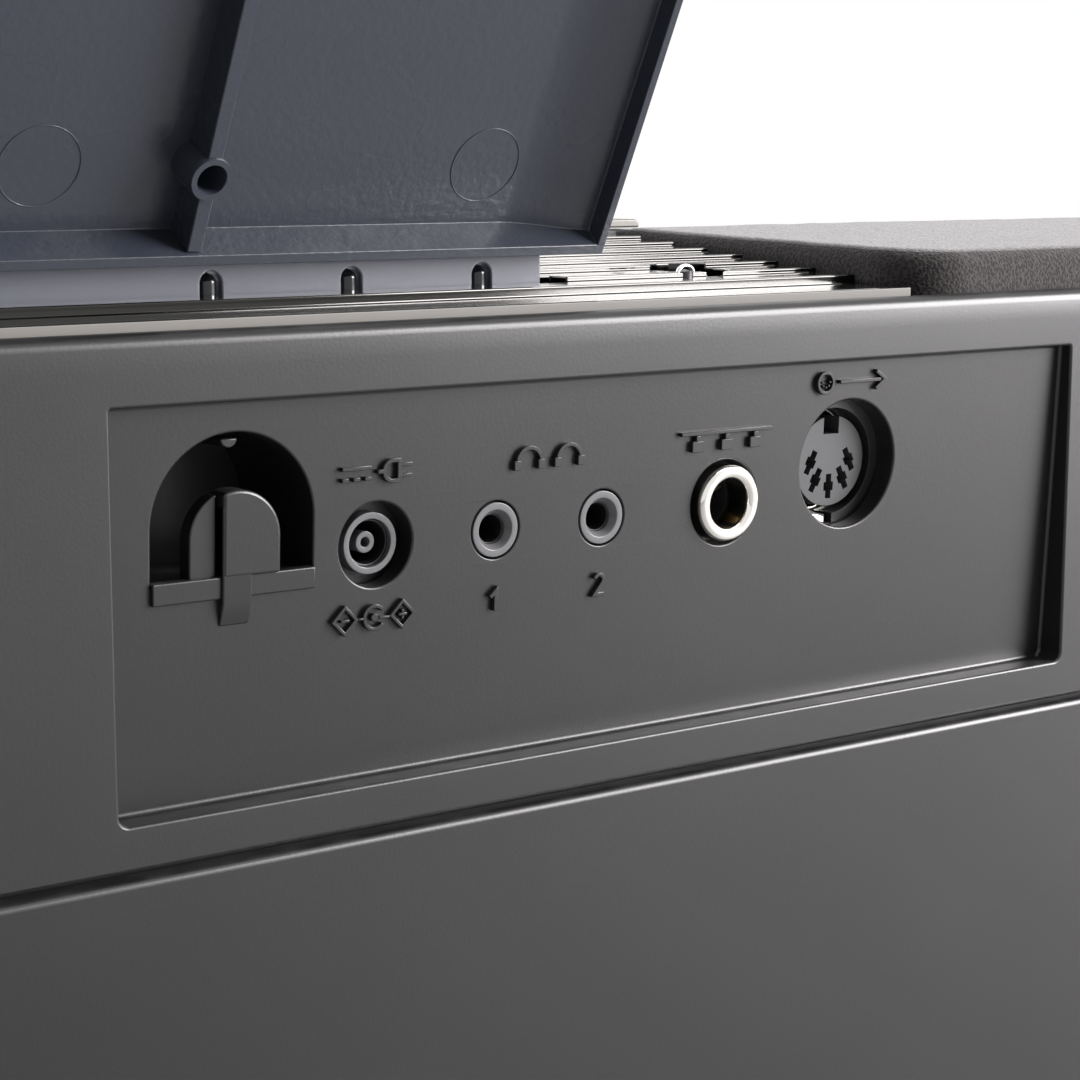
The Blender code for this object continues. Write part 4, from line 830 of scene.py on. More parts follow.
def foam_cover(name, sign, pitch):
    """Slab on a grid of (x, y) whose corner squares of side r become quarter discs.

    A point (a, b) of a corner square, from the disc's centre, goes to radius max(a, b) and to the angle
    45 degrees times min / max from the nearer side. The top climbs towards the player and falls off
    over the edge e by e - sqrt(e^2 - (e - d)^2) at the distance d from the border.
    """
    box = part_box("foam_cover_" + ("left" if sign < 0 else "right"))
    slack = 0.0001
    x0, y0 = box[0].x + slack, box[0].y + slack
    x1, y1 = box[1].x - slack, box[1].y - slack
    x, y = np.meshgrid(foam_lines(x0, x1, pitch), foam_lines(y0, y1, pitch), indexing="ij")
    border = np.minimum(np.minimum(x - x0, x1 - x), np.minimum(y - y0, y1 - y))
    for low_x in (True, False):
        for low_y in (True, False):
            inner = low_x == (sign > 0)
            radius = foam_radius if inner and not low_y else foam_small
            centre = (x0 + radius if low_x else x1 - radius, y0 + radius if low_y else y1 - radius)
            a = (centre[0] - x if low_x else x - centre[0]) / radius
            b = (centre[1] - y if low_y else y - centre[1]) / radius
            here = (a > 0) & (b > 0)
            reach_out = np.maximum(a, b)
            angle = np.pi / 4 * np.minimum(a, b) / np.where(here, reach_out, 1.0)
            angle = np.where(a >= b, angle, np.pi / 2 - angle)
            x = np.where(here, centre[0] + (-1 if low_x else 1) * radius * reach_out * np.cos(angle), x)
            y = np.where(here, centre[1] + (-1 if low_y else 1) * radius * reach_out * np.sin(angle), y)
    drop = foam_edge - np.sqrt(np.maximum(foam_edge ** 2 - np.maximum(foam_edge - border, 0) ** 2, 0))
    climb = 0.0015 * (rear_y - 0.005 - y) / 0.064
    z = recess_z + 0.0140 + climb - drop
    rows, columns = x.shape
    top = np.column_stack((x.ravel(), y.ravel(), z.ravel()))
    i, j = np.meshgrid(np.arange(rows - 1), np.arange(columns - 1), indexing="ij")
    here = (i * columns + j).ravel()
    faces = np.column_stack((here, here + columns, here + columns + 1, here + 1)).tolist()
    loop = [index * columns for index in range(rows)]
    loop += [(rows - 1) * columns + index for index in range(1, columns)]
    loop += [index * columns + columns - 1 for index in range(rows - 2, -1, -1)]
    loop += list(range(columns - 2, 0, -1))
    levels = np.linspace(0, 1, round(0.0105 / pitch) + 1)[1:]
    rim = top[loop]
    base_z = box[0].z + slack
    skirts = [np.column_stack((rim[:, :2], rim[:, 2] + (base_z - rim[:, 2]) * level)) for level in levels]
    points = np.vstack([top] + skirts)
    count = len(loop)
    above = np.array(loop)
    for number in range(len(levels)):
        below = len(top) + number * count + np.arange(count)
        faces += np.column_stack((above, below, np.roll(below, -1), np.roll(above, -1))).tolist()
        above = below
    faces.append(above[::-1].tolist())
    mesh = bpy.data.meshes.new(name)
    mesh.from_pydata(points.tolist(), [], faces)
    mesh.update()
    normals = np.empty(len(points) * 3)
    mesh.vertices.foreach_get("normal", normals)
    height = 0.00005 * (lumps(points, 0.0021) + lumps(points, 0.0045)) + 0.00018 * lumps(points, 0.040)
    fade = np.clip((points[:, 2] - base_z) / 0.002, 0, 1)
    points += normals.reshape(-1, 3) * (np.minimum(height, 0.00025) * fade)[:, None]
    mesh.vertices.foreach_set("co", points.ravel())
    mesh.update()
    return mesh


foam_grey = make_foam_material()
for side, sign, pitch in (("left", -1, 0.0010), ("right", 1, 0.0021)):
    cover_mesh = foam_cover("foam_slab_" + side, sign, pitch)
    slab = add_piece("foam_slab_" + side, cover_mesh, foam_grey, "case", 60.0)
    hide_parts("foam_cover_" + side)


# Music rest: one moulding of dark blue-grey polystyrene. Its back is a shallow tray with a raised rim, ribs, screw
# bosses and ejector marks, and below it a polished, notched foot that stands in the plate's slot. The foot is coloured
# a lighter blue-grey than the rest as painted reflection of the bright room.
rest_navy = moulded("rest_navy", (0.030, 0.035, 0.048), 0.28, 1000.0, 0.00005, cloud=0.10)
# The foot's lighter blue-grey stands in for the bright room mirrored in its polished face: painted reflection.
foot_painted_sheen = moulded("foot_painted_sheen", (0.110, 0.118, 0.146), 0.38, 900.0, 0.000006, cloud=0.12, dust=0.02)
rest_lean = math.radians(26.7)
rest_bend = (rear_y - 0.0215, recess_z + 0.0152)
rest_half = 0.2270
rest_height = 0.195
rest_thick = 0.0025
rim_height = 0.0050
rim_width = 0.0011
flange_foot = 0.0013


def on_rest(x, along, out):
    """World points of places on the rest: across, up along its lean, and out of its back."""
    x, along, out = np.broadcast_arrays(x, along, out)
    y = rest_bend[0] + along * math.sin(rest_lean) + out * math.cos(rest_lean)
    z = rest_bend[1] + along * math.cos(rest_lean) - out * math.sin(rest_lean)
    return np.column_stack((x.ravel(), y.ravel(), z.ravel()))


def rest_bar(along, out, low_x, high_x):
    """Bar of the rest from its outline of (along, out) points: (points, faces)."""
    outline = on_rest(0.0, np.array(along), np.array(out))[:, 1:]
    return solid(outline, low_x, high_x, 0)


def rest_tray():
    """Back of the rest as a height field out(x, a) over its panel, closed by a flat front.

    out = 5 mm on the rim, 0 on the panel, and 2.6 mm * t at both ends, where t runs from 0 to 1 over the
    last 13 mm. The lower flange's top falls from the panel at a = 3.5 mm to the rim at a = 2.6 mm.
    """
    ramp = np.linspace(0.2133, rest_half - rim_width - 0.0002, 10)
    right_side = np.concatenate((ramp, [rest_half - rim_width, rest_half]))
    x_lines = np.concatenate((-right_side[::-1], np.linspace(-0.2, 0.2, 41), right_side))
    a_lines = np.array((
        flange_foot, 0.0026, 0.0035, 0.0042, 0.03, 0.06, 0.09, 0.12, 0.15, 0.18,
        rest_height - rim_width - 0.0003, rest_height - rim_width, rest_height,
    ))
    x, a = np.meshgrid(x_lines, a_lines, indexing="ij")
    t = np.clip((np.abs(x) - 0.2133) / 0.013, 0, 1)
    panel = 0.0026 * (t - 0.08 * np.sin(2 * np.pi * t))
    on_rim = (np.abs(x) > rest_half - rim_width - 1e-6) | (a < 0.0027) | (a > rest_height - rim_width - 1e-6)
    out = np.where(on_rim, rim_height, panel)
    rows, columns = x.shape
    back = on_rest(x, a, out)
    front = on_rest(x, a, np.full(x.shape, -rest_thick))
    i, j = np.meshgrid(np.arange(rows - 1), np.arange(columns - 1), indexing="ij")
    here = (i * columns + j).ravel()
    faces = np.column_stack((here, here + columns, here + columns + 1, here + 1))
    count = rows * columns
    faces = faces.tolist() + (faces[:, ::-1] + count).tolist()
    loop = [index * columns for index in range(rows)]
    loop += [(rows - 1) * columns + index for index in range(1, columns)]
    loop += [index * columns + columns - 1 for index in range(rows - 2, -1, -1)]
    loop += list(range(columns - 2, 0, -1))
    for first, second in zip(loop, loop[1:] + loop[:1]):
        faces.append([first, second, second + count, first + count])
    return np.vstack((back, front)), faces


def rest_ring(x, along, profile, count=40):
    """Surface turned about an axis out of the rest's back, from a closed (radius, out) profile."""
    t = np.linspace(0, 2 * math.pi, count, endpoint=False)
    rings = [on_rest(x + r * np.cos(t), along + r * np.sin(t), np.full(count, out)) for r, out in profile]
    faces = []
    for ring in range(len(profile)):
        following = (ring + 1) % len(profile)
        for index in range(count):
            after = (index + 1) % count
            here, there = ring * count, following * count
            faces.append((here + index, there + index, there + after, here + after))
    return np.vstack(rings), faces


tray = add_piece("rest_tray", joined("rest_tray", [rest_tray()]), rest_navy, "rest")
round_edges(tray, 0.00030, 3, 25.0)
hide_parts("music_rest")
rib_places = (-0.1669, -0.0556, 0.0556, 0.1669)
rib_spans = ((0.0028, 0.0101), (0.0143, rest_height - 0.0221), (rest_height - 0.0179, rest_height - 0.0008))
rib_out = (-0.0003, 0.0045, 0.0045, -0.0003)
bars = []
for x in rib_places:
    for low, high in rib_spans:
        bars.append(rest_bar((low, low, high, high), rib_out, x - 0.00095, x + 0.00095))
ribs = add_piece("rest_ribs", joined("rest_ribs", bars), rest_navy, "rest")
round_edges(ribs, 0.00015, 2)
boss_profile = [
    (0.0028, -0.0002), (0.0027, 0.0046), (0.0026, 0.0048), (0.0019, 0.0048), (0.0018, 0.0046),
    (0.0017, -0.0002),
]
bosses = []
for x in rib_places:
    for along in (0.0122, rest_height - 0.0200):
        bosses.append(rest_ring(x, along, boss_profile))
rings = add_piece("rest_bosses", joined("rest_bosses", bosses), rest_navy, "rest")
mark_profile = [
    (0.00505, -0.0002), (0.00505, 0.00006), (0.00497, 0.00010), (0.00489, 0.00006), (0.00489, -0.0002),
]
marks = []
for x in (-0.2082, -0.1478, -0.0850, 0.0, 0.0850, 0.1478, 0.2082):
    for along in (0.0116, rest_height - 0.0230):
        marks.append(rest_ring(x, along, mark_profile, 64))
add_piece("rest_marks", joined("rest_marks", marks), rest_navy, "rest")

foot_half = 0.2208
notch_places = []
for sign in (-1, 1):
    for number in range(3):
        notch_places.append(sign * (foot_half - 0.0094 - 0.0197 * number))
foot_low, foot_high = recess_z + 0.0060, recess_z + 0.0158
foot_outline = [
    (foot_half, foot_low), (foot_half, foot_high), (-foot_half, foot_high), (-foot_half, foot_low),
]
for x in sorted(notch_places):
    foot_outline += [(x - 0.00145, foot_low)]
    foot_outline += arc((x, recess_z + 0.0117), 0.00145, 180, 0, 15).tolist()
    foot_outline += [(x + 0.00145, foot_low)]
foot_shape = solid(np.array(foot_outline), rest_bend[0] - rest_thick, rest_bend[0], 1)
foot = add_piece("rest_foot", joined("rest_foot", [foot_shape]), foot_painted_sheen, "rest")
round_edges(foot, 0.00025, 3)
neck = np.vstack((
    [(rest_bend[0] - rest_thick, recess_z + 0.0140), (rest_bend[0] - 0.0002, recess_z + 0.0140)],
    on_rest(0.0, np.array((0.0002, 0.0016)), np.array((-0.0001, -0.0001)))[:, 1:],
    on_rest(0.0, np.array((0.0016, 0.0006)), np.array((-rest_thick, -rest_thick)))[:, 1:],
))
neck_shape = solid(neck, -foot_half + 0.0005, foot_half - 0.0005, 0)
add_piece("rest_neck", joined("rest_neck", [neck_shape]), rest_navy, "rest")
ledge_half = rest_half - 0.009
ledge = rest_bar(
    (0.0020, 0.0020, 0.0100, 0.0100, 0.0045, 0.0045), (-0.0024, -0.0200, -0.0200, -0.0182, -0.0176, -0.0024),
    -ledge_half, ledge_half,
)
ledge_piece = add_piece("rest_ledge", joined("rest_ledge", [ledge]), rest_navy, "rest")
round_edges(ledge_piece, 0.0006, 3)


# Signs by the connectors, raised in one with the recess floor: plain pictograms of a plug, headphones,
# pedals and a round socket with an arrow, the polarity marks, and the numbers 1 and 2.
sign_low = floor_y - 0.0003
sign_high = floor_y + 0.0007
stroke_width = 0.00050


def stroke(path, width=stroke_width, closed=False):
    """Raised line along a path of (u, v) points in millimetres, its corners mitred: (points, faces)."""
    line = np.array([(recess_x - 0.001 * u, recess_z + 0.001 * v) for u, v in path])
    count = len(line)
    ahead = np.roll(line, -1, axis=0) - line
    if not closed:
        ahead[-1] = ahead[-2]
    ahead /= np.linalg.norm(ahead, axis=1)[:, None]
    side = np.column_stack((-ahead[:, 1], ahead[:, 0]))
    before = np.roll(side, 1, axis=0)
    if not closed:
        before[0] = side[0]
    mitre = (side + before) / (1 + (side * before).sum(axis=1))[:, None] * width / 2
    rings = []
    for sign, y in ((1, sign_high), (-1, sign_high), (-1, sign_low), (1, sign_low)):
        edge_line = line + sign * mitre
        rings.append(np.column_stack((edge_line[:, 0], np.full(count, y), edge_line[:, 1])))
    faces = []
    for index in range(count if closed else count - 1):
        after = (index + 1) % count
        for k in range(4):
            other = (k + 1) % 4
            faces.append((k * count + index, k * count + after, other * count + after, other * count + index))
    if not closed:
        faces.append((0, count, 2 * count, 3 * count))
        faces.append((count - 1, 4 * count - 1, 3 * count - 1, 2 * count - 1))
    return np.vstack(rings), faces


def arc_path(centre, radius, start, end, count=17):
    """Points of an arc in (u, v) millimetres, as a list."""
    return arc(centre, radius, start, end, count).tolist()


def dot(centre, radius):
    """Raised round dot."""
    points = [(recess_x - 0.001 * u, recess_z + 0.001 * v) for u, v in arc_path(centre, radius, 0, 330, 12)]
    return solid(np.array(points), sign_low, sign_high, 1)


power_sign = [
    stroke([(30.3, -8.9), (34.3, -8.9)]),
    stroke([(30.3, -10.2), (31.2, -10.2)]),
    stroke([(31.85, -10.2), (32.75, -10.2)]),
    stroke([(33.4, -10.2), (34.3, -10.2)]),
    stroke([(35.2, -9.5), (36.1, -9.5)]),
    stroke([(38.2, -8.3)] + arc_path((37.3, -9.5), 1.2, 90, 270) + [(38.2, -10.7)], closed=True),
    stroke([(38.3, -8.85), (40.0, -8.85)], 0.00045),
    stroke([(38.3, -10.15), (40.0, -10.15)], 0.00045),
]
phones_sign = []
for u in (57.2, 63.3):
    phones_sign.append(stroke(arc_path((u, -10.0), 1.8, 8, 172)))
    phones_sign.append(stroke([(u - 1.8, -10.9), (u - 1.8, -9.7)], 0.0010))
    phones_sign.append(stroke([(u + 1.8, -10.9), (u + 1.8, -9.7)], 0.0010))
pedal_sign = [stroke([(81.2, -8.3), (96.6, -8.3)])]
for u in (84.0, 88.9, 93.8):
    pedal_sign.append(stroke([(u, -8.6), (u, -9.3)], 0.0007))
    pedal_sign.append(stroke([(u, -9.3), (u, -10.7)], 0.0019))
din_sign = [stroke(arc_path((105.9, -3.0), 1.35, 0, 342, 20), 0.00045, closed=True)]
for angle in range(180, 361, 45):
    turn = math.radians(angle)
    din_sign.append(dot((105.9 + 0.7 * math.cos(turn), -2.9 + 0.7 * math.sin(turn)), 0.17))
din_sign.append(stroke([(108.5, -3.0), (116.0, -3.0)]))
din_sign.append(stroke([(115.1, -1.8), (116.9, -3.0), (115.1, -4.2)]))
polarity_sign = [
    stroke([(29.4, -26.8), (31.0, -25.2), (32.6, -26.8), (31.0, -28.4)], 0.0004, closed=True),
    stroke([(30.4, -26.8), (31.6, -26.8)], 0.00035),
    stroke([(32.85, -26.8), (33.55, -26.8)], 0.0003),
    stroke(arc_path((35.1, -26.8), 1.4, 35, 325), 0.00045),
    dot((35.1, -26.8), 0.5),
    stroke([(35.7, -26.85), (37.2, -26.9)], 0.0003),
    stroke([(37.45, -26.8), (39.05, -25.2), (40.65, -26.8), (39.05, -28.4)], 0.0004, closed=True),
    stroke([(38.45, -26.8), (39.65, -26.8)], 0.00035),
    stroke([(39.05, -26.2), (39.05, -26.6)], 0.00035),
    stroke([(39.05, -27.0), (39.05, -27.4)], 0.00035),
]
one_sign = [stroke([(51.8, -26.2), (52.65, -25.45), (52.65, -27.95)], 0.00055)]
two_sign = [stroke(arc_path((68.6, -25.75), 0.68, 165, -30, 9) + [(67.95, -27.6), (69.45, -27.6)])]
for name, strokes in (
    ("power_sign", power_sign), ("phones_sign", phones_sign), ("pedal_sign", pedal_sign),
    ("din_sign", din_sign), ("polarity_sign", polarity_sign),
    ("one_sign", one_sign), ("two_sign", two_sign),
):
    piece = add_piece(name, joined(name, leaning(strokes)), case_grey, "case")
    round_edges(piece, 0.00008, 2)


# DC power socket: a grey barrel in a plain round opening, black inside, with a hollow centre pin.
# Pressed together and soldered to the board behind.
collar_grey = moulded("collar_grey", (0.12, 0.12, 0.125), 0.36, 3000.0, 0.000006, cloud=0.03)
black_plastic = moulded("black_plastic", (0.012, 0.012, 0.013), 0.38)
nickel = moulded("nickel", (0.80, 0.78, 0.73), 0.14, 600.0, 0.000001, cloud=0.02, dust=0.0, metallic=1.0)


def turned(spot, profile, count=64):
    """Surface turned about an axis along Y at a connector's place, from a closed (radius, y) profile."""
    x, z = recess_x - spot[0], recess_z + spot[1]
    t = np.linspace(0, 2 * math.pi, count, endpoint=False)
    rings = []
    for radius, y in profile:
        across, up = x + radius * np.cos(t), z + radius * np.sin(t)
        rings.append(np.column_stack((across, np.full(count, floor_y + y), up)))
    i, j = np.meshgrid(np.arange(count), np.arange(len(profile)))
    next_ring = (j + 1) % len(profile)
    faces = np.column_stack((
        (j * count + i).ravel(), (next_ring * count + i).ravel(),
        (next_ring * count + (i + 1) % count).ravel(), (j * count + (i + 1) % count).ravel(),
    ))
    return np.vstack(rings), faces.tolist()


def rounded(corners, radius, steps=4):
    """A closed profile with every corner replaced by an arc that starts a radius before it."""
    points = []
    for index, here in enumerate(corners):
        before = Vector(corners[index - 1]) - Vector(here)
        after = Vector(corners[(index + 1) % len(corners)]) - Vector(here)
        start = before.normalized() * min(radius, before.length / 2.2)
        end = after.normalized() * min(radius, after.length / 2.2)
        for t in np.linspace(0, 1, steps + 1):
            bend = start * (1 - t) ** 2 + end * t ** 2
            points.append((here[0] + bend.x, here[1] + bend.y))
    return points


def add_turned(name, spot, corners, radius, material, body="case", count=64):
    """Adds a turned piece with rounded corners."""
    surface = turned(spot, rounded(corners, radius), count)
    return add_piece(name, joined(name, leaning([surface])), material, body)


board_z = recess_z - 0.0246


def housing(spot, half_width, half_height):
    """Rectangular outline about a connector's place, which stands on the board."""
    x, z = recess_x - spot[0], recess_z + spot[1]
    return np.array([
        (x - half_width, board_z + 0.0003), (x + half_width, board_z + 0.0003),
        (x + half_width, z + half_height), (x - half_width, z + half_height),
    ])


def drilled(outline, holes, face_y, depth, hole_depth):
    """Surfaces of a block with blind holes: its face lies at face_y from the panel floor."""
    top, bottom, hole_end = floor_y + face_y, floor_y + face_y - depth, floor_y + face_y - hole_depth
    shape = [flat_face([outline] + holes, top), carried(outline, [(0.0, top), (0.0, bottom)])]
    shape.append(flat_face([outline], bottom))
    for hole in holes:
        shape.append(carried(hole, [(0.0, top), (0.0, hole_end)]))
        shape.append(flat_face([hole], hole_end))
    return leaning(shape)


socket_face = -0.0033
body = drilled(housing(dc_spot, 0.0070, 0.0060), [round_hole(dc_spot, 0.0031)], socket_face, 0.0130, 0.0090)
dc_body = add_piece("dc_body", joined("dc_body", body), black_plastic, "case")
round_edges(dc_body, 0.0003)
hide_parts("dc_socket")
barrel = [(0.0037, -0.0013), (0.0029, -0.0013), (0.0029, -0.0032), (0.0037, -0.0032)]
add_turned("dc_barrel", dc_spot, barrel, 0.00012, collar_grey)
sleeve = [(0.00286, -0.0020), (0.0026, -0.0020), (0.0026, -0.0120), (0.00286, -0.0120)]
add_turned("dc_sleeve", dc_spot, sleeve, 0.0001, black_plastic)
tube = [(0.0013, -0.0024), (0.0006, -0.0024), (0.0006, -0.0050), (0.0005, -0.0122), (0.0013, -0.0122)]
dc_pin = add_turned("dc_pin_tube", dc_spot, tube, 0.00012, collar_grey)
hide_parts("dc_pin")


# Headphone sockets: flush grey collars with a bevelled mouth and a black bore, a contact leaf inside.
for number, spot in enumerate(phones_spots):
    label = "phones_%d" % (number + 1)
    body = drilled(housing(spot, 0.0060, 0.0062), [round_hole(spot, 0.0019)], socket_face, 0.0140, 0.0120)
    piece = add_piece(label + "_body", joined(label + "_body", body), black_plastic, "case")
    round_edges(piece, 0.0003)
    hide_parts("phones_socket_%d" % (number + 1))
    collar = [(0.00335, 0.0), (0.0025, 0.0), (0.0019, -0.0009), (0.0019, -0.0032), (0.00335, -0.0032)]
    add_turned(label + "_collar", spot, collar, 0.0001, collar_grey)
    bore = [(0.00187, -0.0012), (0.00172, -0.0012), (0.00172, -0.0152), (0.00187, -0.0152)]
    add_turned(label + "_bore", spot, bore, 0.00004, black_plastic)
    leaf_spot = (spot[0] - 0.0007, spot[1] + 0.0006)
    leaf = [(0.0, -0.0030), (0.0004, -0.0033), (0.00055, -0.0040), (0.00055, -0.0150), (0.0, -0.0150)]
    add_turned(label + "_leaf", leaf_spot, leaf, 0.0001, nickel, count=16)


# Pedal socket: a polished ferrule that screws the black housing to the panel from outside, and a
# sprung brass contact inside the bore.
brass = moulded("brass", (0.62, 0.42, 0.16), 0.28, 600.0, 0.000002, dust=0.0, metallic=1.0)
bore = round_hole(damper_spot, 0.00325)
body = drilled(housing(damper_spot, 0.0085, 0.0065), [bore], socket_face, 0.0280, 0.0250)
damper_body = add_piece("damper_body", joined("damper_body", body), black_plastic, "case")
round_edges(damper_body, 0.0003)
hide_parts("damper_socket")
lip = [
    (0.0050, -0.0031), (0.0050, 0.0002), (0.0050, 0.0010), (0.0046, 0.00145), (0.0037, 0.00145),
    (0.0032, 0.0010), (0.0032, -0.0031),
]
ferrule = add_turned("damper_ferrule_ring", damper_spot, lip, 0.0005, nickel, count=96)
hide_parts("damper_ferrule")
contact_x = recess_x - damper_spot[0] - 0.0021
contact_z = recess_z + damper_spot[1] + 0.0010
leaf = np.array([
    (floor_y - 0.0280, contact_z - 0.0007), (floor_y - 0.0080, contact_z - 0.0010),
    (floor_y - 0.0050, contact_z - 0.0004), (floor_y - 0.0035, contact_z + 0.0006),
    (floor_y - 0.0052, contact_z + 0.0001), (floor_y - 0.0080, contact_z - 0.0005),
    (floor_y - 0.0280, contact_z - 0.0002),
])
leaf = leaning([solid(leaf, contact_x - 0.0007, contact_x + 0.0009, 0)])
piece = add_piece("damper_contact", joined("damper_contact", leaf), brass, "case")
round_edges(piece, 0.0001)


# Five-pin round socket: black housing, grey insert with a key notch and five radial slots, a metal
# shield deep in the ring-shaped gap and an earth tab under it. Snapped together, soldered behind.
socket_black = moulded("socket_black", (0.030, 0.030, 0.032), 0.33, 3000.0, 0.000004, cloud=0.03)
insert_grey = moulded("insert_grey", (0.055, 0.055, 0.058), 0.46, 3000.0, 0.000004, cloud=0.03)
din_x = recess_x - din_spot[0]
din_z = recess_z + din_spot[1]


def with_notch(radius, half_width, end_z, up, count=72):
    """Round outline about the five-pin socket with a rectangular notch at the top or the bottom."""
    gap = math.degrees(math.asin(half_width / radius))
    middle = 90 if up else 270
    ring = arc((din_x, din_z), radius, middle + gap, middle + 360 - gap, count)
    side = half_width if up else -half_width
    return np.vstack((ring, (din_x + side, din_z + end_z), (din_x - side, din_z + end_z)))


well = with_notch(0.0073, 0.0007, -0.0086, False)
body = drilled(housing(din_spot, 0.0098, 0.0098), [well], socket_face, 0.0150, 0.0105)
din_body = add_piece("din_body", joined("din_body", body), socket_black, "case")
round_edges(din_body, 0.0002)
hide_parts("din_socket")
cross = np.array([
    (-0.0017, -0.00048), (-0.0006, -0.00048), (-0.0006, -0.00085), (0.0006, -0.00085), (0.0006, -0.00048),
    (0.0017, -0.00048), (0.0017, 0.00048), (0.0006, 0.00048), (0.0006, 0.00085), (-0.0006, 0.00085),
    (-0.0006, 0.00048), (-0.0017, 0.00048),
])
slots = []
for number, turn in enumerate((63.0, 63.0, 90.0, 117.0, 117.0)):
    angle = math.radians(180 + 45 * number)
    middle = np.array((din_x + 0.0035 * math.cos(angle), din_z + 0.0035 * math.sin(angle)))
    t = math.radians(turn)
    along, across = np.array((math.cos(t), math.sin(t))), np.array((-math.sin(t), math.cos(t)))
    slots.append(middle + cross[:, :1] * along + cross[:, 1:] * across)
insert = drilled(with_notch(0.00617, 0.0014, 0.0037, True), slots, -0.0035, 0.0100, 0.0060)
din_insert = add_piece("din_insert_disc", joined("din_insert_disc", insert), insert_grey, "case")
round_edges(din_insert, 0.00008)
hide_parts("din_insert")
shield = [(0.00715, -0.0075), (0.00690, -0.0075), (0.00690, -0.0136), (0.00715, -0.0136)]
din_shield = add_turned("din_shield_ring", din_spot, shield, 0.00005, nickel, count=96)
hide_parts("din_shield")
tab = np.array([
    (din_x + 0.0012, din_z - 0.0083), (din_x + 0.0042, din_z - 0.0076),
    (din_x + 0.0042, din_z - 0.0068), (din_x + 0.0012, din_z - 0.0074),
])
tab = leaning([solid(tab, floor_y - 0.0034, floor_y - 0.0028, 1)])
piece = add_piece("din_tab", joined("din_tab", tab), nickel, "case")
round_edges(piece, 0.00008)


# Push buttons for power, piano sound and other sounds: black ABS caps that slide in the deck's openings.
# Each cap has soft edges and a shallow raised dot, so that a finger finds its middle.
for number, node_name in enumerate(("power_button", "piano_button", "sound_button")):
    softened(node_name, black_plastic, 0.0004, 3)
    low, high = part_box(node_name)
    dots = []
    for step in range(number + 1):
        x = (low.x + high.x) / 2 + 0.0016 * (step - number / 2)
        y, z = (low.y + high.y) / 2, high.z
        bead = [
            (0.00055, z - 0.0003), (0.00055, z + 0.00005), (0.0004, z + 0.00018), (0.0, z + 0.00022),
            (0.0, z - 0.0003),
        ]
        dots.append(turned_up(x, y, bead, 20))
    body = nodes[node_name]["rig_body"]
    add_piece(node_name + "_dots", joined(node_name + "_dots", dots), collar_grey, body)


# Volume knob: black ABS, 24 flutes round its rim, a dished top and a white pointer inlaid in it.
# Pushed on to the shaft of the control board's potentiometer.
pointer_white = new_material("pointer_white", (0.75, 0.75, 0.73), 0.45)
low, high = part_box("volume_knob")
knob_x, knob_y = (low.x + high.x) / 2, (low.y + high.y) / 2
knob_radius = (high.x - low.x) / 2
knob_base = high.z - 0.0115
profile = [
    (0.344, low.z), (0.344, knob_base), (0.97, knob_base), (1.0, knob_base + 0.0003),
    (0.955, high.z - 0.0016), (0.93, high.z - 0.0008), (0.88, high.z - 0.0002), (0.82, high.z), (0.74, high.z - 0.0003),
    (0.60, high.z - 0.0006), (0.0, high.z - 0.0008), (0.0, low.z),
]
count = 192
t = np.linspace(0, 2 * math.pi, count, endpoint=False)
rings = []
for scale, z in profile:
    flute = 0.035 * np.abs(np.cos(12 * t)) if scale > 0.85 else 0.0
    r = knob_radius * scale * (1 - flute)
    rings.append(np.column_stack((knob_x + r * np.cos(t), knob_y + r * np.sin(t), np.full(count, z))))
i, j = np.meshgrid(np.arange(count), np.arange(len(profile)))
ahead = (j + 1) % len(profile)
faces = np.column_stack((
    (j * count + i).ravel(), (ahead * count + i).ravel(),
    (ahead * count + (i + 1) % count).ravel(), (j * count + (i + 1) % count).ravel(),
)).tolist()
knob_body = nodes["volume_knob"]["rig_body"]
knob = add_piece("knob_cap", joined("knob_cap", [(np.vstack(rings), faces)]), black_plastic, knob_body)
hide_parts("volume_knob")
bar = np.array([
    (knob_x - 0.0005, high.z - 0.0012), (knob_x + 0.0005, high.z - 0.0012),
    (knob_x + 0.0005, high.z - 0.00035), (knob_x - 0.0005, high.z - 0.00035),
])
pointer = solid(bar, knob_y + 0.0022, knob_y + knob_radius * 0.80, 1)
pointer_piece = add_piece("knob_pointer", joined("knob_pointer", [pointer]), pointer_white, knob_body)
round_edges(pointer_piece, 0.0001)


# Power lamp: a clear red lens over the diode, pushed into its hole from below.
lamp_red = new_material("lamp_red", (0.42, 0.015, 0.012), 0.10)
lamp_red.node_tree.nodes["Principled BSDF"].inputs["Coat Weight"].default_value = 0.6
softened("power_lamp", lamp_red, 0.0002, 3)


# Control board: a green board under the buttons with its switches and the potentiometer's body soldered on.
board_green = moulded("board_green", (0.018, 0.105, 0.045), 0.32, 700.0, 0.00001, cloud=0.15, dust=0.0)
part_black = moulded("part_black", (0.015, 0.015, 0.016), 0.5, dust=0.0)
part_silver = moulded("part_silver", (0.62, 0.62, 0.63), 0.3, 500.0, 0.000003, dust=0.0, metallic=1.0)


def box_shape(low, high):
    """Box between two corners: (points, faces)."""
    outline = np.array([(low[0], low[1]), (high[0], low[1]), (high[0], high[1]), (low[0], high[1])])
    points, faces = solid(outline, low[2], high[2], 1)
    return points[:, (0, 2, 1)], [face[::-1] for face in faces]


def add_parts(name, board, places, material, top=True):
    """Small boxes on a board's face: each place is (x, y, width, depth, height) from the board's middle."""
    low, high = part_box(board)
    middle = ((low.x + high.x) / 2, (low.y + high.y) / 2)
    shapes = []
    for x, y, wide, deep, tall in places:
        base = high.z if top else low.z
        span = (base - 0.0001, base + tall) if top else (base - tall, base + 0.0001)
        x, y = middle[0] + x, middle[1] + y
        shapes.append(box_shape((x - wide / 2, y - deep / 2, span[0]), (x + wide / 2, y + deep / 2, span[1])))
    piece = add_piece(name, joined(name, shapes), material, nodes[board]["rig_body"])
    round_edges(piece, 0.0001)
    return piece


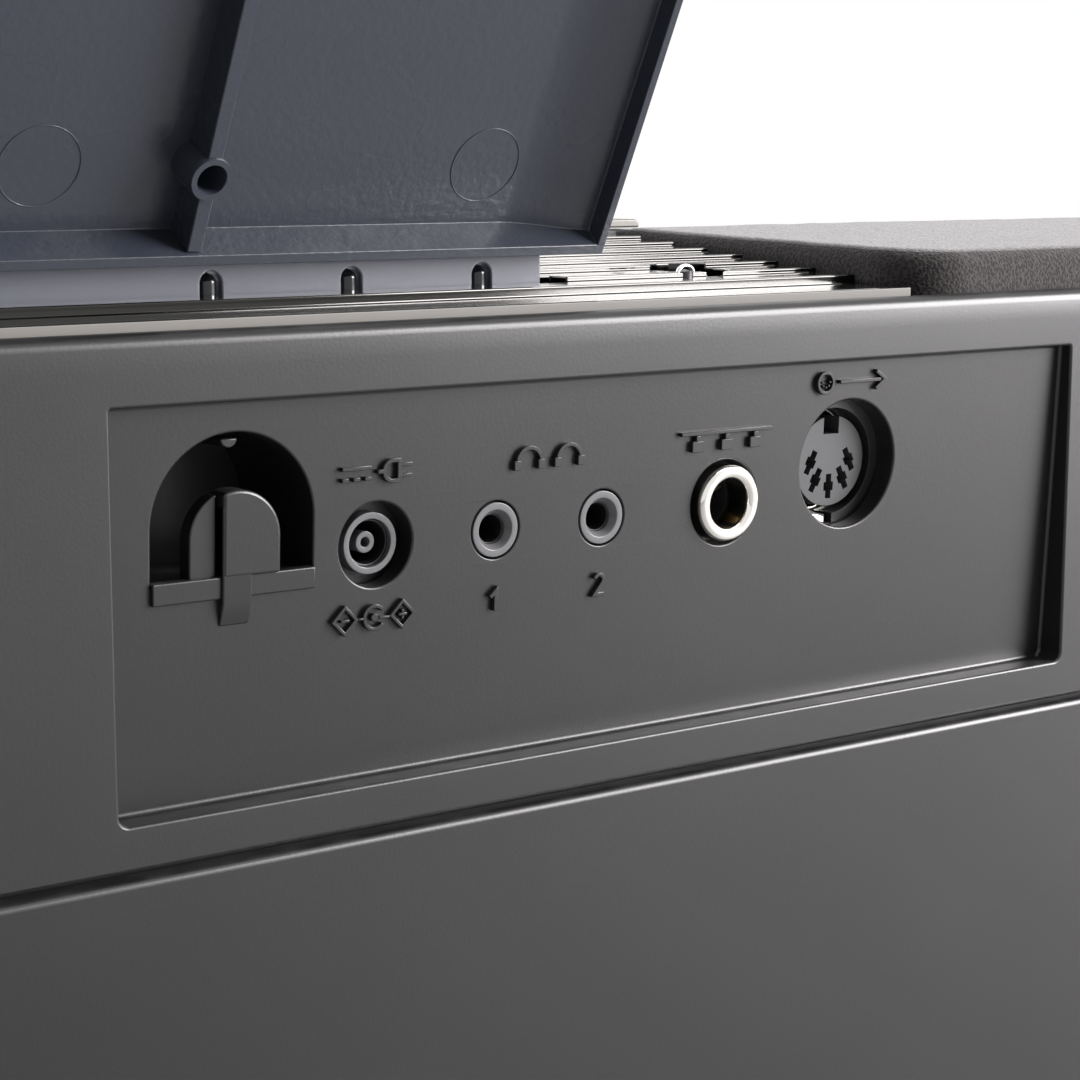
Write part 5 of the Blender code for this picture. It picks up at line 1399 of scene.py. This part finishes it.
softened("control_board", board_green, 0.0002)
chips = [(x, 0.0125, 0.0016, 0.0008, 0.0006) for x in np.linspace(-0.05, 0.05, 12)]
add_parts("control_chips", "control_board", chips, part_black, top=False)


# White keys: hollow shells of glossy ivory-white acrylic resin, their front and top edges rounded for the
# fingers. Each hooks over the long steel rod at its rear end and pivots on it.
ivory = moulded("key_white", (0.80, 0.79, 0.75), 0.20, 400.0, 0.000003, cloud=0.015, dust=0.0)
ivory.node_tree.nodes["Principled BSDF"].inputs["Coat Weight"].default_value = 0.25
ivory.node_tree.nodes["Principled BSDF"].inputs["Subsurface Weight"].default_value = 0.06
ivory.node_tree.nodes["Principled BSDF"].inputs["Subsurface Scale"].default_value = 0.003
for note in "cdefgab":
    softened("natural_%s4" % note, ivory, 0.0004, 3)
for side in ("bass", "treble"):
    softened(side + "_naturals", ivory, 0.0004, 2)


# Black keys: matt black resin with a fine grain against slipping, narrowed towards the top, on their own rod.
ebony = moulded("key_black", (0.010, 0.010, 0.011), 0.40, 1800.0, 0.00001, cloud=0.04, dust=0.02)
for note in "cdfga":
    softened("sharp_%s4" % note, ebony, 0.0006, 3)
for side in ("bass", "treble"):
    softened(side + "_sharps", ebony, 0.0006, 2)


# Key frame and rods: the frame is folded zinc-plated steel sheet, screwed to the lower case; two ground steel
# rods through its lugs carry the keys.
zinc = moulded("zinc_steel", (0.52, 0.53, 0.55), 0.33, 220.0, 0.000012, cloud=0.14, dust=0.05, metallic=1.0)
rod_steel = moulded(
    "rod_steel", (0.66, 0.66, 0.67), 0.16, 900.0, 0.000001, cloud=0.02, dust=0.0, metallic=1.0,
)
softened("key_frame", zinc, 0.0002)
softened("natural_rod", rod_steel, 0.0002)
softened("sharp_rod", rod_steel, 0.0002)


# Felts: strips of red wool felt glued on the frame, where the keys land, and along the fallboard's foot.
def make_felt(name, colour):
    """Wool felt: matted fibres in colour and bump, and a soft sheen."""
    material = new_material(name, colour, 0.95)
    tree = material.node_tree
    shader = tree.nodes["Principled BSDF"]
    place = tree.nodes.new("ShaderNodeTexCoord")
    fibres = tree.nodes.new("ShaderNodeTexNoise")
    fibres.inputs["Scale"].default_value = 1500.0
    fibres.inputs["Detail"].default_value = 6.0
    fibres.inputs["Distortion"].default_value = 1.2
    tree.links.new(place.outputs["Object"], fibres.inputs["Vector"])
    tones = tree.nodes.new("ShaderNodeMix")
    tones.data_type = "RGBA"
    tree.links.new(fibres.outputs["Fac"], tones.inputs["Factor"])
    tones.inputs["A"].default_value = (colour[0] * 0.45, colour[1] * 0.45, colour[2] * 0.45, 1.0)
    tones.inputs["B"].default_value = (colour[0] * 1.5, colour[1] * 1.5, colour[2] * 1.5, 1.0)
    tree.links.new(tones.outputs["Result"], shader.inputs["Base Color"])
    bump = tree.nodes.new("ShaderNodeBump")
    bump.inputs["Distance"].default_value = 0.0003
    tree.links.new(fibres.outputs["Fac"], bump.inputs["Height"])
    tree.links.new(bump.outputs["Normal"], shader.inputs["Normal"])
    shader.inputs["Sheen Weight"].default_value = 0.6
    return material


felt_red = make_felt("felt_red", (0.24, 0.02, 0.022))
for node_name in ("natural_stop_felt", "sharp_stop_felt", "fallboard_felt"):
    softened(node_name, felt_red, 0.0004, 3)


# Contact board under the keys and jack board behind the recess: bare green boards, screwed to the case.
softened("contact_board", board_green, 0.0002)
softened("jack_board", board_green, 0.0002)


# Speakers: oval baskets of pressed steel with a ring magnet, screwed up under the foam trays, and cones of
# black pressed paper.
basket_steel = moulded("basket_steel", (0.30, 0.30, 0.31), 0.42, 300.0, 0.00001, cloud=0.10, metallic=0.9)
cone_paper = moulded("cone_paper", (0.022, 0.021, 0.021), 0.85, 900.0, 0.00015, cloud=0.12)
for side in ("left", "right"):
    softened("speaker_" + side, basket_steel, 0.0002, 2)
    softened("cone_" + side, cone_paper, 0.0002, 2)


# Main board on the floor of the case: green board with its heat sink, chips, capacitors and plugs.
softened("main_board", board_green, 0.0002)
low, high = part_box("main_board")
board_top = low.z + 0.0016
middle_x, middle_y = (low.x + high.x) / 2, (low.y + high.y) / 2
cans, sleeves = [], []
for x, y, radius, tall in (
    (-0.085, 0.012, 0.0050, 0.0110), (-0.072, 0.013, 0.0040, 0.0090), (-0.020, -0.012, 0.0040, 0.0085),
    (0.062, 0.012, 0.0050, 0.0110), (0.076, 0.010, 0.0050, 0.0110), (0.140, 0.014, 0.0032, 0.0070),
):
    x, y = middle_x + x, middle_y + y
    top = board_top + tall
    sleeve = [
        (0.0, board_top - 0.0001), (radius, board_top - 0.0001), (radius, top - 0.0004), (radius * 0.93, top),
        (radius * 0.85, top), (0.0, top),
    ]
    cans.append(turned_up(x, y, sleeve, 36))
    lid_radius = radius * 0.84
    lid = [(0.0, top - 0.0002), (lid_radius, top - 0.0002), (lid_radius, top + 0.00008), (0.0, top + 0.00008)]
    sleeves.append(turned_up(x, y, lid, 36))
add_piece("main_capacitors", joined("main_capacitors", cans), part_black, "case")
add_piece("main_capacitor_lids", joined("main_capacitor_lids", sleeves), part_silver, "case")


# Feet: four black rubber buttons, pushed into the lower case and held by a screw in a sunken seat.
rubber = moulded("foot_rubber", (0.018, 0.018, 0.018), 0.85, 1200.0, 0.00003)
for place in ("front_left", "front_right", "rear_left", "rear_right"):
    low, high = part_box("foot_" + place)
    x, y, radius, z = (low.x + high.x) / 2, (low.y + high.y) / 2, (high.x - low.x) / 2, low.z
    profile = [
        (0.0, high.z), (radius, high.z), (radius * 0.985, z + 0.0016), (radius * 0.95, z + 0.0006),
        (radius * 0.88, z + 0.0001), (radius * 0.80, z), (radius * 0.42, z), (radius * 0.36, z + 0.0004),
        (radius * 0.34, z + 0.0016), (0.0, z + 0.0016),
    ]
    pad = turned_up(x, y, profile, 48)
    foot_piece = add_piece("rubber_" + place, joined("rubber_" + place, [pad]), rubber, "case")
    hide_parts("foot_" + place)
    head = [
        (0.0, z + 0.0018), (0.0024, z + 0.0018), (0.0024, z + 0.0012), (0.0018, z + 0.0008),
        (0.0, z + 0.0008),
    ]
    add_piece("screw_" + place, joined("screw_" + place, [turned_up(x, y, head, 32)]), part_silver, "case")


# The CAD nodes keep a material each, so that every part carries its own finish.
finishes = {
    "case": case_grey, "plate": silver, "foam": foam_grey, "rest": rest_navy, "collar": case_grey,
    "nickel": nickel, "socket": black_plastic, "insert": insert_grey, "board": board_green,
    "button": black_plastic, "lamp": lamp_red, "steel": zinc, "felt": felt_red, "cone": cone_paper,
    "foot": rubber, "key_white": ivory, "key_black": ebony,
}
for entry in frame["record"]["subparts"]:
    node = nodes[entry["node"]]
    node.data.materials.clear()
    node.data.materials.append(finishes[entry["material_slot"]])
